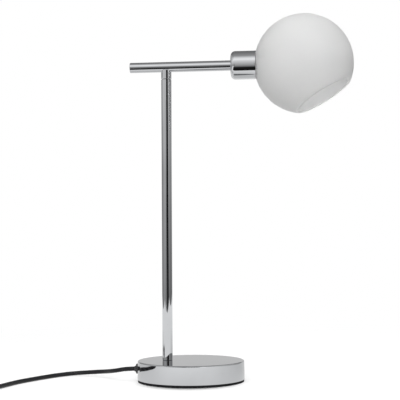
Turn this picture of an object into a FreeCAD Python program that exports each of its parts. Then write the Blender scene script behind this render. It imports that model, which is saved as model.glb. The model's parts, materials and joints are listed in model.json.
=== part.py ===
"""Table lamp: a round weighted foot, an upright tube set off its middle, a level arm across
the tube's top, and an opal glass globe with a slanted mouth on the arm's end.

Millimetres. The origin is the middle of the foot's underside, +Z is up, and the arm points
along +X to the globe. A piece's function carries the piece's name.
"""

import FreeCAD
import Part
import math
import os

os.makedirs("parts", exist_ok=True)

V = FreeCAD.Vector
X_AXIS, Y_AXIS, Z_AXIS = V(1, 0, 0), V(0, 1, 0), V(0, 0, 1)

# ---- Clearances -----------------------------------------------------------------------
THREAD_GAP = 0.05      # radial, between a thread and its hole, and at a brazed joint
HOLE_GAP = 0.25        # radial, where a part passes through a plain hole
SEAT_GAP = 0.3         # between the turning glass and what holds it
PIVOT_GAP = 0.08       # radial, a pin running in its bearing
CORD_GAP = 0.05        # radial, cord in a moulded bore
SCREW_TIP_GAP = 0.5    # a tapped hole beyond its screw's tip
NEAR = 0.01            # edges this close to a place are taken as lying there

# ---- Foot -----------------------------------------------------------------------------
BASE_BOTTOM_DIAMETER = 134.8
BASE_DRAFT = 0.2               # the drawn cap is this much narrower at its top
BASE_HEIGHT = 26.0             # floor to chrome top
BASE_EDGE_RADIUS = 1.5
SHELL_WALL = 1.2
PAD_THICKNESS = 3.0
PAD_INSET = 0.5                # pad's edge inside the cap's lower edge
PLATE_THICKNESS = 1.5
PLATE_GAP = 1.1                # plate to the cap's wall at its narrowest
WEIGHT_GAP = 1.6               # weight to the cap's wall at its narrowest
WEIGHT_CHAMFER = 2.0
CHANNEL_WIDTH = 20.0           # cord channel under the weight
CHANNEL_HEADROOM = 0.25        # clamped cord to the channel's roof

PLATE_SCREW_CIRCLE = 45.0      # radius of the three screws' circle
PLATE_SCREW_COUNT = 3
PLATE_SCREW_RADIUS = 2.0
PLATE_SCREW_LENGTH = 10.0
PLATE_HEAD_RADIUS = 3.8
PLATE_HEAD_HEIGHT = 2.2
PLATE_HEAD_ROUND = 0.88
PLATE_SLOT_WIDTH = 0.9
PLATE_SLOT_DEPTH = 0.8
PAD_HOLE_GAP = 1.2             # hole in the pad round a screw's head

# ---- Tubes ----------------------------------------------------------------------------
TUBE_DIAMETER = 13.0
TUBE_BORE = 10.0               # tapped M10 x 1 at its ends
STEM_OFFSET = 29.8             # stem axis behind the middle of the foot
ARM_HEIGHT = 399.5             # arm axis above the floor
SEAM_BELOW_ARM = 16.0          # arm axis down to the stem's seam with the arm's socket
SEAM_CHAMFER = 0.6
SOCKET_BELOW_ARM = 3.8         # arm axis down to the socket's rounded top
SOCKET_ROUND = 0.8
ARM_BEHIND = 46.8              # stem axis to the arm's rear end
ARM_AHEAD = 83.4               # stem axis to the holder cup
END_CAP_THICKNESS = 1.6
END_CAP_ROUND = 0.64
END_CAP_SPIGOT = 6.0
NIPPLE_BORE = 8.0
NIPPLE_GRIP = 12.0             # thread length in a tube
NIPPLE_PAST_NUT = 1.0
SEAM_NIPPLE_SHORT = 1.5        # the seam's nipple ends this far under the arm's bore
NUT_ACROSS_FLATS = 14.0
NUT_HEIGHT = 4.0
WASHER_HEIGHT = 1.0
WASHER_RADIUS = 8.5
WASHER_TEETH = 12
WASHER_TOOTH = 1.2

# ---- Holder cup and lampholder, measured along the arm from the cup's closed end --------
CUP_DIAMETER = 36.0
CUP_WALL = 1.0
CUP_END_WALL = 1.2
CUP_EDGE_RADIUS = 5.5          # the drawn cup's closed end, outside
HOLDER_CAP_GAP = 0.2           # lock nut to the lampholder's cap
HOLDER_NECK_LENGTH = 6.0
HOLDER_NECK_RADIUS = 8.0
HOLDER_CAP_RADIUS = 13.9
HOLDER_CAP_END = 24.4
HOLDER_WALL = 1.5
BLOCK_GAP = 0.35               # terminal block behind the cap's shoulder
BLOCK_THICKNESS = 8.0
SLEEVE_WALL = 1.4              # the block's sleeve round the screw shell
SLEEVE_SHORT = 0.5             # the sleeve ends this far behind the shell
SHELL_SHEET = 0.7
SHELL_SIDE_GAP = 0.3           # radial, bulb cap in the screw shell
SHELL_END_GAP = 0.35           # screw shell to the skirt's lip
SKIRT_RADIUS = 14.1
SKIRT_LENGTH = 18.8
SKIRT_LIP = 2.0
SKIRT_CHAMFER = 0.6
CONTACT_SHEET = 0.4
CONTACT_GAP = 0.1              # contact tongue to the bulb's tip
CONTACT_SIDE_GAP = 0.5         # contact tongue to the screw shell
CONTACT_BEND = 0.55            # where the tongue leaves the block, as a share of its foot
RING_RADIUS = 19.0
RING_HEIGHT = 6.0
RING_NOTCHES = 16
RING_NOTCH_RADIUS = 1.1
REAR_RING_HEIGHT = 3.5
GASKET_THICKNESS = 1.4

# ---- Glass globe -------------------------------------------------------------------------
GLOBE_DIAMETER = 125.6
GLASS_THICKNESS = 3.0
GLASS_START = 29.4             # cup's closed end to the rear of the globe's outside
GLASS_HOLE_GAP = 0.9           # radial, glass round the lampholder's skirt
MOUTH_BELOW_ARM = 60.0         # degrees from the arm's direction down to the mouth's normal
MOUTH_TURN = -5.8              # degrees about the arm, as the photographed glass is turned
MOUTH_DEPTH = 48.8             # middle of the globe to the plane of the mouth
MOUTH_EDGE = 0.8               # fire-polished rounding of the cut edge

# ---- Bulb ----------------------------------------------------------------------------------
BULB_DIAMETER = 45.0
BULB_WALL = 1.0
BULB_TIP_AHEAD = 2.8           # terminal block's face to the tip of the bulb
BULB_TIP_HEIGHT = 1.3
BULB_TIP_RADIUS = 2.4
BULB_INSULATOR_HEIGHT = 2.4
BULB_CAP_RADIUS = 6.9
BULB_CAP_LENGTH = 15.0
BULB_CAP_SHEET = 0.5
BULB_PLUG_LENGTH = 9.0         # collar's plug inside the cap
BULB_COLLAR_LENGTH = 13.0
BULB_COLLAR_RADIUS = 15.0
BULB_COLLAR_LIP = 0.6          # collar's foot outside the cap
BULB_COLLAR_ROUND = 1.2        # how far its outline turns in at both ends
BULB_GLASS_INSET = 0.5         # bulb's glass inside the collar's edge

# ---- Cord ----------------------------------------------------------------------------------
CORD_DIAMETER = 5.5            # round two-core flex
CORE_DIAMETER = 2.2
CORE_SPREAD = 1.4              # each core beside the middle line
CORE_BEND = 10.0               # bend of a core from the stem into the arm
CORE_LEAD = 4.5                # straight length out of the sheath
CORE_DIP = 4.0                 # length in which a core drops to the channel's floor
CORE_SETBACK = 2.0             # a core's bend stands this far behind a piece's end
SHEATH_PAST_CLAMP = 1.0
GLAND_HEIGHT = 15.0            # cord entry above the floor
GLAND_FLANGE_DIAMETER = 12.7
GLAND_FLANGE = 2.5
GLAND_CHAMFER = 0.7
GLAND_NOSE = 2.0
GLAND_NOSE_RADIUS = 3.9
GLAND_NOSE_WALL = 0.7
GLAND_SHANK_RADIUS = 4.4
GLAND_SHANK = 7.5
GLAND_TAIL = 6.0
GLAND_NUT_RADIUS = 6.8
GLAND_NUT_HEIGHT = 3.0
CLAMP_AWAY = 1.1               # gland's inner end to the cord clamp
CLAMP_WIDTH = 6.0
CLAMP_SIDE_GAP = 1.0           # clamp's ends to the channel's walls
CLAMP_HEIGHT = 5.0
CLAMP_SCREW_SPREAD = 6.6
CLAMP_SCREW_RADIUS = 1.5
CLAMP_SCREW_HEAD = 2.7
CLAMP_SCREW_HEAD_HEIGHT = 2.0
CLAMP_SCREW_GRIP = 4.0

# ---- Inline switch ---------------------------------------------------------------------------
SWITCH_END = V(-262.0, -131.0, 8.5)   # where the lamp's cord enters it
SWITCH_LENGTH = 62.0
SWITCH_WIDTH = 25.0
SWITCH_END_WIDTH = 11.0
SWITCH_HEIGHT = 17.5
SWITCH_END_HEIGHT = 13.0
SWITCH_EDGE = 1.2
SWITCH_GRIP = 6.0              # cord held inside each end
ROCKER_SINK = 3.3              # pivot below the switch's top
ROCKER_REACH = 8.3             # pivot to the rocker's tips
ROCKER_WIDTH = 10.0
ROCKER_TIP_RISE = 2.6
ROCKER_DIP = 1.2
ROCKER_HEEL_GAP = 0.45         # lowest corner of the tipped rocker to the lower half
ROCKER_PIN_RADIUS = 1.5
ROCKER_PIN_LENGTH = 1.8
ROCKER_REST_TILT = 12.0        # degrees, resting in one of its two positions
ROCKER_GAP = 0.35
SWITCH_SCREW_SPREAD = 19.0
SWITCH_SCREW_RADIUS = 1.3
SWITCH_SCREW_HEAD = 2.6
SWITCH_SCREW_HEAD_HEIGHT = 2.0
SWITCH_SCREW_LENGTH = 9.0
SWITCH_SCREW_SINK = 0.5
SWITCH_SLOT = 0.7              # screw slot, as wide as deep

# ---- Put-away coil -----------------------------------------------------------------------------
COIL_TURNS = 7                 # half of them in each of two layers
COIL_RADIUS = 41.0             # outermost turn, to the cord's middle
COIL_SPACE = 0.5               # between neighbouring turns, and between the layers
COIL_CLIMB = 0.5               # turns taken to climb a layer
COIL_LIFT = 0.9                # the tie passes under the coil
COIL_CENTRE = V(-323.0, -62.0, 0)
TIE_WIDTH = 6.0
TIE_THICKNESS = 0.6
TIE_GAP = 0.6
TIE_CORNER = 2.5
TIE_FLAP = 12.0

# ---- Plug --------------------------------------------------------------------------------------
PLUG_PLACE = V(-364.0, -28.5, 0)      # where the cord enters its strain relief
RELIEF_LENGTH = 22.0
RELIEF_RADIUS = 5.2
RELIEF_END_RADIUS = 3.7
RELIEF_GROOVES = 5
RELIEF_GROOVE_DEPTH = 0.7
RELIEF_GROOVE_SHARE = 0.4      # of the grooves' spacing
RELIEF_SKIN = 0.4              # least wall over the cord
PLUG_LENGTH = 36.0
PLUG_WIDTH = 35.4
PLUG_REAR_WIDTH = 15.0
PLUG_STRAIGHT = 13.0
PLUG_BELLY = 1.0               # how far its waist bows out
PLUG_THICKNESS = 13.7
PLUG_EDGE = 2.2
PIN_SPACING = 18.6
PIN_RADIUS = 2.0
PIN_LENGTH = 19.0
PIN_SLEEVE = 10.0
PIN_SLEEVE_RADIUS = 1.8
PIN_CORE_RADIUS = 1.3
PIN_END_ROUND = 1.2
PIN_ROOT = 6.0

# ---- Worked out from the sizes above --------------------------------------------------------------
TUBE_RADIUS = TUBE_DIAMETER / 2
BORE_RADIUS = TUBE_BORE / 2
NIPPLE_RADIUS = BORE_RADIUS - THREAD_GAP
CORD_RADIUS = CORD_DIAMETER / 2
CORD_BORE = CORD_RADIUS + CORD_GAP
CORE_RADIUS = CORE_DIAMETER / 2
CUP_RADIUS = CUP_DIAMETER / 2
GLOBE_RADIUS = GLOBE_DIAMETER / 2

STEM_X = -STEM_OFFSET
STEM_SEAM_HEIGHT = ARM_HEIGHT - SEAM_BELOW_ARM
SOCKET_TOP = ARM_HEIGHT - SOCKET_BELOW_ARM
CUP_X = STEM_X + ARM_AHEAD
GLOBE_AHEAD = GLASS_START + GLOBE_RADIUS    # cup's closed end to the middle of the globe
GLOBE_CENTRE = V(CUP_X + GLOBE_AHEAD, 0, ARM_HEIGHT)

BASE_TOP_DIAMETER = BASE_BOTTOM_DIAMETER - BASE_DRAFT
PAD_DIAMETER = BASE_BOTTOM_DIAMETER - 2 * PAD_INSET
NARROWEST = min(BASE_TOP_DIAMETER, BASE_BOTTOM_DIAMETER) - 2 * SHELL_WALL
PLATE_DIAMETER = NARROWEST - 2 * PLATE_GAP
WEIGHT_DIAMETER = NARROWEST - 2 * WEIGHT_GAP
PLATE_TOP = PAD_THICKNESS + PLATE_THICKNESS
SHELL_CEILING = BASE_HEIGHT - SHELL_WALL
CHANNEL_CEILING = GLAND_HEIGHT + CORD_RADIUS + CHANNEL_HEADROOM
NUT_TOP = CHANNEL_CEILING - WASHER_HEIGHT
NUT_BOTTOM = NUT_TOP - NUT_HEIGHT

HOLDER_CAP_START = CUP_END_WALL + WASHER_HEIGHT + NUT_HEIGHT + HOLDER_CAP_GAP
HOLDER_NECK_END = HOLDER_CAP_START + HOLDER_NECK_LENGTH
HOLDER_SHOULDER = HOLDER_NECK_END + HOLDER_CAP_RADIUS - HOLDER_NECK_RADIUS
BLOCK_START = HOLDER_SHOULDER - HOLDER_WALL / 2 + BLOCK_GAP
BLOCK_FACE = BLOCK_START + BLOCK_THICKNESS
SHELL_BORE = BULB_CAP_RADIUS + SHELL_SIDE_GAP
SHELL_RADIUS = SHELL_BORE + SHELL_SHEET
SLEEVE_RADIUS = SHELL_RADIUS + THREAD_GAP + SLEEVE_WALL
SKIRT_BORE = SLEEVE_RADIUS + HOLE_GAP
SKIRT_START = HOLDER_CAP_END + THREAD_GAP
SKIRT_END = SKIRT_START + SKIRT_LENGTH
SHELL_END = SKIRT_END - SKIRT_LIP - SHELL_END_GAP
GLASS_HOLE_RADIUS = SKIRT_RADIUS + GLASS_HOLE_GAP
TERMINAL_SPREAD = NIPPLE_BORE / 2           # each terminal beside the arm's axis
BULB_TIP = BLOCK_FACE + BULB_TIP_AHEAD
BULB_CAP_START = BULB_TIP + BULB_TIP_HEIGHT + BULB_INSULATOR_HEIGHT
BULB_CAP_END = BULB_CAP_START + BULB_CAP_LENGTH

SWITCH_X = SWITCH_END.x - SWITCH_LENGTH / 2
ROCKER_PIVOT_HEIGHT = SWITCH_HEIGHT - ROCKER_SINK
COIL_PITCH = CORD_DIAMETER + COIL_SPACE     # from turn to turn, and from layer to layer
COIL_LOW = COIL_LIFT + CORD_RADIUS
COIL_HIGH = COIL_LOW + COIL_PITCH
COIL_START = V(COIL_CENTRE.x - COIL_RADIUS, COIL_CENTRE.y, COIL_LOW)
COIL_END = V(COIL_START.x, COIL_START.y, COIL_HIGH)
PLUG_START = PLUG_PLACE + V(0, 0, PLUG_THICKNESS / 2)
PLUG_BACK = PLUG_START.y + RELIEF_LENGTH
PLUG_FACE = PLUG_BACK + PLUG_LENGTH


def cap_side(height, wall=0):
    """Radius of the foot's cap at a height, less a wall."""
    share = (height - PAD_THICKNESS) / (BASE_HEIGHT - PAD_THICKNESS - wall)
    return (BASE_BOTTOM_DIAMETER + (BASE_TOP_DIAMETER - BASE_BOTTOM_DIAMETER) * share) / 2 - wall


def widest_side(half_height):
    """The cap's largest outside radius beside the cord's entry."""
    return max(cap_side(GLAND_HEIGHT - half_height), cap_side(GLAND_HEIGHT + half_height))


def narrowest_inside(half_height):
    """The cap's smallest inside radius beside the cord's entry."""
    return min(cap_side(GLAND_HEIGHT - half_height, SHELL_WALL),
               cap_side(GLAND_HEIGHT + half_height, SHELL_WALL))


GLAND_FACE = -widest_side(GLAND_FLANGE_DIAMETER / 2) - THREAD_GAP   # flange against the chrome
GLAND_TIP = GLAND_FACE - GLAND_FLANGE - GLAND_NOSE                  # where the free cord starts
GLAND_TAIL_END = GLAND_FACE + GLAND_SHANK + GLAND_TAIL
CLAMP_START = GLAND_TAIL_END + CLAMP_AWAY
CLAMP_MIDDLE = CLAMP_START + CLAMP_WIDTH / 2
CLAMP_LOW = GLAND_HEIGHT - CLAMP_HEIGHT
SHEATH_END = CLAMP_START + CLAMP_WIDTH + SHEATH_PAST_CLAMP

# The free cord from the foot to the switch, as it lies in the photograph. Points are the
# corners of its runs; the cord rounds each of them.
LAMP_RUN = [
    V(GLAND_TIP, 0, GLAND_HEIGHT),
    V(-85.0, 0, GLAND_HEIGHT),
    V(-95.5, 4.5, 13.6),
    V(-103.0, 14.0, 11.7),
    V(-109.0, 26.0, 9.9),
    V(-119.0, 36.0, 8.0),
    V(-136.0, 41.0, 6.2),
    V(-155.0, 39.0, 4.3),
    V(-171.0, 29.0, 3.1),
    V(-183.0, 10.0, CORD_RADIUS),
    V(-198.0, -18.0, CORD_RADIUS),
    V(-212.0, -48.0, CORD_RADIUS),
    V(-219.5, -80.0, CORD_RADIUS),
    V(-224.0, -104.0, 3.3),
    V(-236.0, -123.0, 6.0),
    V(-253.0, SWITCH_END.y, SWITCH_END.z),
    V(SWITCH_END.x - SWITCH_GRIP, SWITCH_END.y, SWITCH_END.z),
]
SWITCH_RUN = [
    V(SWITCH_END.x - SWITCH_LENGTH + SWITCH_GRIP, SWITCH_END.y, SWITCH_END.z),
    V(-333.0, SWITCH_END.y, SWITCH_END.z),
    V(-350.0, -125.0, 6.4),
    V(-361.0, -109.0, 4.4),
    V(COIL_START.x, -88.0, COIL_LOW),
    V(COIL_START.x, COIL_START.y - CORD_DIAMETER, COIL_LOW),
]
PLUG_RUN = [
    V(COIL_END.x, COIL_END.y + CORD_DIAMETER, COIL_HIGH),
    V(COIL_END.x, -48.5, COIL_HIGH),
    V(PLUG_START.x, -36.5, PLUG_START.z),
    PLUG_START,
]


# ---- Helpers ---------------------------------------------------------------------------------------
def save(node, shape):
    """Write one piece to its own file."""
    shape.exportStep("parts/" + node + ".step")


def rod(radius, start, length, direction=Z_AXIS):
    return Part.makeCylinder(radius, length, start, direction)


def tube(outer, inner, start, length, direction=Z_AXIS):
    return rod(outer, start, length, direction).cut(rod(inner, start, length, direction))


def turned(outline, start, direction=X_AXIS):
    """Turn a closed outline of (along, radius) points about an axis through start."""
    side = Z_AXIS if direction.z == 0 else X_AXIS
    corners = [start + direction * along + side * radius for along, radius in outline]
    face = Part.Face(Part.makePolygon(corners + corners[:1]))
    return face.revolve(start, direction, 360)


def on_arm(along):
    """A point of the arm's axis, measured from the cup's closed end."""
    return V(CUP_X + along, 0, ARM_HEIGHT)


def hexagon(across_flats, height, start, direction=Z_AXIS):
    """A six-sided bar with two flats square to X, or to Z when it lies along X."""
    corner = across_flats / math.sqrt(3)
    side, up = (X_AXIS, Y_AXIS) if direction.z else (Z_AXIS, Y_AXIS)
    points = []
    for k in range(6):
        angle = math.radians(30 + 60 * k)
        points.append(start + side * corner * math.cos(angle) + up * corner * math.sin(angle))
    face = Part.Face(Part.makePolygon(points + points[:1]))
    return face.extrude(direction * height)


def around(shape, count, centre, direction=Z_AXIS):
    """Copies of a shape, evenly spaced about an axis."""
    copies = []
    for k in range(count):
        copy = shape.copy()
        copy.rotate(centre, direction, 360.0 * k / count)
        copies.append(copy)
    return copies


def edges_at(shape, test):
    return [edge for edge in shape.Edges if test(edge)]


def ball(radius):
    return Part.makeSphere(radius, GLOBE_CENTRE)


def bend_radius(before, corner, after, largest):
    """Radius of a cord's bend at a corner, and how far from the corner it starts."""
    a, b = (corner - before), (after - corner)
    half_turn = a.getAngle(b) / 2
    reach = 0.45 * min(a.Length, b.Length)
    radius = min(reach / math.tan(half_turn), largest)
    return radius, radius * math.tan(half_turn)


def route(points, largest=math.inf):
    """Straight runs joined by tangent arcs, and the arcs' radii."""
    edges, radii, last = [], [], points[0]
    for before, corner, after in zip(points, points[1:], points[2:]):
        radius, reach = bend_radius(before, corner, after, largest)
        back = (before - corner).normalize()
        ahead = (after - corner).normalize()
        start, end = corner + back * reach, corner + ahead * reach
        inward = (back + ahead).normalize()
        centre_away = math.hypot(radius, reach)
        edges.append(Part.LineSegment(last, start).toShape())
        edges.append(Part.Arc(start, corner + inward * (centre_away - radius), end).toShape())
        radii.append(radius)
        last = end
    edges.append(Part.LineSegment(last, points[-1]).toShape())
    return Part.Wire(edges), radii


def swept(wire, radius):
    """A round bar along a wire."""
    first = wire.Edges[0]
    start = first.valueAt(first.FirstParameter)
    direction = first.tangentAt(first.FirstParameter)
    section = Part.Wire(Part.makeCircle(radius, start, direction))
    return wire.makePipeShell([section], True, False)


def cord(name, points):
    """A free stretch of cord. Prints its bends, and its volume beside section times length."""
    wire, radii = route(points)
    solid = swept(wire, CORD_RADIUS)
    ideal = math.pi * CORD_RADIUS**2 * wire.Length
    print(name, "radii", [round(r, 1) for r in radii], "in diameters from",
          round(min(radii) / CORD_DIAMETER, 2), "length", round(wire.Length, 1),
          "volume", round(solid.Volume, 1), "of", round(ideal, 1))
    return solid


def arc_between(start, direction, end):
    """The arc that leaves start in a direction and reaches end."""
    chord = end - start
    along = V(chord).normalize()
    aside = direction - along * direction.dot(along)
    if aside.Length < 1e-9:
        return Part.LineSegment(start, end).toShape()
    half = direction.getAngle(along) / 2
    middle = start + chord * 0.5 + aside.normalize() * (chord.Length / 2 * math.tan(half))
    return Part.Arc(start, middle, end).toShape()


def biarc(start, leaving, end, arriving):
    """Two tangent arcs between two points with given directions."""
    gap, both = end - start, leaving + arriving
    lean = gap.dot(both)
    spread = 2 * (1 - leaving.dot(arriving))
    reach = (-lean + math.sqrt(lean**2 + spread * gap.dot(gap))) / spread
    joint = (start + leaving * reach + end - arriving * reach) * 0.5
    back = arc_between(end, arriving * -1, joint)
    first = arc_between(start, leaving, joint)
    return [first, back]


# ---- Foot --------------------------------------------------------------------------------------------
def base_shell():
    """Drawn chrome cap, with holes for the stem's nipple and the cord's gland."""
    height = BASE_HEIGHT - PAD_THICKNESS
    bottom, top = BASE_BOTTOM_DIAMETER / 2, BASE_TOP_DIAMETER / 2
    outside = Part.makeCone(bottom, top, height, V(0, 0, PAD_THICKNESS))
    rim = edges_at(outside, lambda e: abs(e.CenterOfMass.z - BASE_HEIGHT) < NEAR)
    outside = outside.makeFillet(BASE_EDGE_RADIUS, rim)
    inside = Part.makeCone(
        bottom - SHELL_WALL, top - SHELL_WALL, height - SHELL_WALL, V(0, 0, PAD_THICKNESS)
    )
    stem_hole = rod(NIPPLE_RADIUS + HOLE_GAP, V(STEM_X, 0, PAD_THICKNESS), BASE_HEIGHT)
    gland_hole = rod(
        GLAND_SHANK_RADIUS + THREAD_GAP, V(GLAND_TIP, 0, GLAND_HEIGHT), -GLAND_TIP, X_AXIS
    )
    return outside.cut(inside).cut(stem_hole).cut(gland_hole)


def base_weight():
    """Cast iron disc that fills the cap, notched for the gland and channelled for the cord."""
    height = SHELL_CEILING - PLATE_TOP
    disc = rod(WEIGHT_DIAMETER / 2, V(0, 0, PLATE_TOP), height)
    disc = disc.makeChamfer(WEIGHT_CHAMFER, edges_at(disc, lambda e: len(e.Vertexes) == 1))
    depth = CHANNEL_CEILING - PLATE_TOP
    length = WEIGHT_DIAMETER / 2 + STEM_X
    channel = Part.makeBox(
        length, CHANNEL_WIDTH, depth, V(-WEIGHT_DIAMETER / 2, -CHANNEL_WIDTH / 2, PLATE_TOP)
    )
    channel = channel.fuse(rod(CHANNEL_WIDTH / 2, V(STEM_X, 0, PLATE_TOP), depth))
    notch = Part.makeBox(
        WEIGHT_DIAMETER / 2 + GLAND_TAIL_END + HOLE_GAP, CHANNEL_WIDTH, height,
        V(-WEIGHT_DIAMETER / 2, -CHANNEL_WIDTH / 2, PLATE_TOP),
    )
    nipple_hole = rod(NIPPLE_RADIUS + HOLE_GAP, V(STEM_X, 0, PLATE_TOP), height)
    disc = disc.cut(channel).cut(notch).cut(nipple_hole)
    tapped = rod(
        PLATE_SCREW_RADIUS + THREAD_GAP, V(PLATE_SCREW_CIRCLE, 0, PLATE_TOP), PLATE_SCREW_LENGTH
    )
    for hole in around(tapped, PLATE_SCREW_COUNT, V(0, 0, 0)):
        disc = disc.cut(hole)
    for side in (-1, 1):
        place = V(CLAMP_MIDDLE, side * CLAMP_SCREW_SPREAD, CHANNEL_CEILING)
        disc = disc.cut(rod(CLAMP_SCREW_RADIUS + THREAD_GAP, place, CLAMP_SCREW_GRIP))
    return disc


def base_plate():
    """Sheet steel plate under the weight."""
    disc = rod(PLATE_DIAMETER / 2, V(0, 0, PAD_THICKNESS), PLATE_THICKNESS)
    hole = rod(
        PLATE_SCREW_RADIUS + HOLE_GAP, V(PLATE_SCREW_CIRCLE, 0, PAD_THICKNESS), PLATE_THICKNESS
    )
    for copy in around(hole, PLATE_SCREW_COUNT, V(0, 0, 0)):
        disc = disc.cut(copy)
    return disc


def foot_pad():
    """Black pad with a hole under each screw head."""
    disc = rod(PAD_DIAMETER / 2, V(0, 0, 0), PAD_THICKNESS)
    hole = rod(PLATE_HEAD_RADIUS + PAD_HOLE_GAP, V(PLATE_SCREW_CIRCLE, 0, 0), PAD_THICKNESS)
    for copy in around(hole, PLATE_SCREW_COUNT, V(0, 0, 0)):
        disc = disc.cut(copy)
    return disc


def plate_screws():
    """Three pan-head screws through the plate into the weight."""
    low = PAD_THICKNESS - PLATE_HEAD_HEIGHT
    head = rod(PLATE_HEAD_RADIUS, V(PLATE_SCREW_CIRCLE, 0, low), PLATE_HEAD_HEIGHT)
    rim = edges_at(head, lambda e: len(e.Vertexes) == 1 and abs(e.CenterOfMass.z - low) < NEAR)
    head = head.makeFillet(PLATE_HEAD_ROUND, rim)
    slot = Part.makeBox(
        2 * PLATE_HEAD_RADIUS, PLATE_SLOT_WIDTH, PLATE_SLOT_DEPTH,
        V(PLATE_SCREW_CIRCLE - PLATE_HEAD_RADIUS, -PLATE_SLOT_WIDTH / 2, low),
    )
    shank_length = PLATE_THICKNESS + PLATE_SCREW_LENGTH - SCREW_TIP_GAP
    shank = rod(PLATE_SCREW_RADIUS, V(PLATE_SCREW_CIRCLE, 0, PAD_THICKNESS), shank_length)
    screw = head.cut(slot).fuse(shank)
    return Part.makeCompound(around(screw, PLATE_SCREW_COUNT, V(0, 0, 0)))


# ---- Stem and arm ------------------------------------------------------------------------------------
def chamfered_tube(start, length, direction, chamfer_start, chamfer_end):
    """Lamp tube whose seams are chamfered into fine V grooves."""
    cut_start = SEAM_CHAMFER if chamfer_start else 0
    cut_end = SEAM_CHAMFER if chamfer_end else 0
    outline = [
        (0, BORE_RADIUS),
        (0, TUBE_RADIUS - cut_start),
        (cut_start, TUBE_RADIUS),
        (length - cut_end, TUBE_RADIUS),
        (length, TUBE_RADIUS - cut_end),
        (length, BORE_RADIUS),
    ]
    corners = [p for k, p in enumerate(outline) if k == 0 or p != outline[k - 1]]
    return turned(corners, start, direction)


def stem_tube():
    """Upright tube from the foot to the seam under the arm."""
    length = STEM_SEAM_HEIGHT - BASE_HEIGHT
    return chamfered_tube(V(STEM_X, 0, BASE_HEIGHT), length, Z_AXIS, True, True)


def nipple(start, length, direction=Z_AXIS):
    """Hollow threaded pipe, its bore open for the cores."""
    return tube(NIPPLE_RADIUS, NIPPLE_BORE / 2, start, length, direction)


def stem_nipple():
    low = NUT_BOTTOM - NIPPLE_PAST_NUT
    return nipple(V(STEM_X, 0, low), BASE_HEIGHT + NIPPLE_GRIP - low)


def lock_nut(start, direction=Z_AXIS):
    nut = hexagon(NUT_ACROSS_FLATS, NUT_HEIGHT, start, direction)
    return nut.cut(rod(BORE_RADIUS, start, NUT_HEIGHT, direction))


def toothed_washer(start, direction=Z_AXIS):
    """Lock washer with radial teeth."""
    side = X_AXIS if direction.z else Z_AXIS
    disc = tube(WASHER_RADIUS, BORE_RADIUS + THREAD_GAP, start, WASHER_HEIGHT, direction)
    notch = rod(WASHER_TOOTH / 2, start + side * WASHER_RADIUS, WASHER_HEIGHT, direction)
    for copy in around(notch, WASHER_TEETH, start, direction):
        disc = disc.cut(copy)
    return disc


def stem_nut():
    return lock_nut(V(STEM_X, 0, NUT_BOTTOM))


def stem_washer():
    return toothed_washer(V(STEM_X, 0, NUT_TOP))


def seam_nipple():
    """Joins the stem to the arm's socket."""
    top = ARM_HEIGHT - BORE_RADIUS - SEAM_NIPPLE_SHORT
    low = STEM_SEAM_HEIGHT - NIPPLE_GRIP
    return nipple(V(STEM_X, 0, low), top - low)


def arm_socket():
    """Short stub under the arm, round-shouldered and saddle-cut to the arm's round."""
    height = SOCKET_TOP - STEM_SEAM_HEIGHT
    stub = chamfered_tube(V(STEM_X, 0, STEM_SEAM_HEIGHT), height, Z_AXIS, True, False)
    shoulder = edges_at(
        stub, lambda e: abs(e.CenterOfMass.z - SOCKET_TOP) < NEAR and e.Length > TUBE_BORE * math.pi + NEAR
    )
    stub = stub.makeFillet(SOCKET_ROUND, shoulder)
    saddle = rod(
        TUBE_RADIUS + THREAD_GAP, V(STEM_X - TUBE_DIAMETER, 0, ARM_HEIGHT),
        2 * TUBE_DIAMETER, X_AXIS,
    )
    return stub.cut(saddle)


def arm_tube():
    """Level tube, open below where the stem's bore meets it."""
    rear = STEM_X - ARM_BEHIND + END_CAP_THICKNESS
    arm = chamfered_tube(V(rear, 0, ARM_HEIGHT), CUP_X - rear, X_AXIS, False, False)
    return arm.cut(rod(BORE_RADIUS, V(STEM_X, 0, ARM_HEIGHT - TUBE_DIAMETER), TUBE_DIAMETER))


def arm_end_cap():
    """Turned plug that closes the arm's rear end."""
    rear = V(STEM_X - ARM_BEHIND, 0, ARM_HEIGHT)
    button = rod(TUBE_RADIUS, rear, END_CAP_THICKNESS, X_AXIS)
    rim = edges_at(button, lambda e: len(e.Vertexes) == 1 and abs(e.CenterOfMass.x - rear.x) < NEAR)
    button = button.makeFillet(END_CAP_ROUND, rim)
    return button.fuse(rod(NIPPLE_RADIUS, rear, END_CAP_THICKNESS + END_CAP_SPIGOT, X_AXIS))


def arm_nipple():
    """Carries the cup and the lampholder on the arm's front end."""
    return nipple(on_arm(-NIPPLE_GRIP), NIPPLE_GRIP + HOLDER_NECK_END, X_AXIS)


def arm_washer():
    return toothed_washer(on_arm(CUP_END_WALL), X_AXIS)


def arm_nut():
    return lock_nut(on_arm(CUP_END_WALL + WASHER_HEIGHT), X_AXIS)


# ---- Cup and lampholder -------------------------------------------------------------------------------
def holder_cup():
    """Chrome cup whose rim follows the glass."""
    outside = rod(CUP_RADIUS, on_arm(0), GLOBE_AHEAD, X_AXIS)
    back = edges_at(outside, lambda e: len(e.Vertexes) == 1 and abs(e.CenterOfMass.x - CUP_X) < NEAR)
    outside = outside.makeFillet(CUP_EDGE_RADIUS, back)
    inside = rod(CUP_RADIUS - CUP_WALL, on_arm(CUP_END_WALL), GLOBE_AHEAD, X_AXIS)
    corner = edges_at(
        inside,
        lambda e: len(e.Vertexes) == 1 and abs(e.CenterOfMass.x - CUP_X - CUP_END_WALL) < NEAR,
    )
    inside = inside.makeFillet(CUP_EDGE_RADIUS - CUP_END_WALL, corner)
    hole = rod(NIPPLE_RADIUS + HOLE_GAP, on_arm(0), CUP_END_WALL, X_AXIS)
    return outside.cut(inside).cut(hole).cut(ball(GLOBE_RADIUS + SEAT_GAP))


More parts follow.
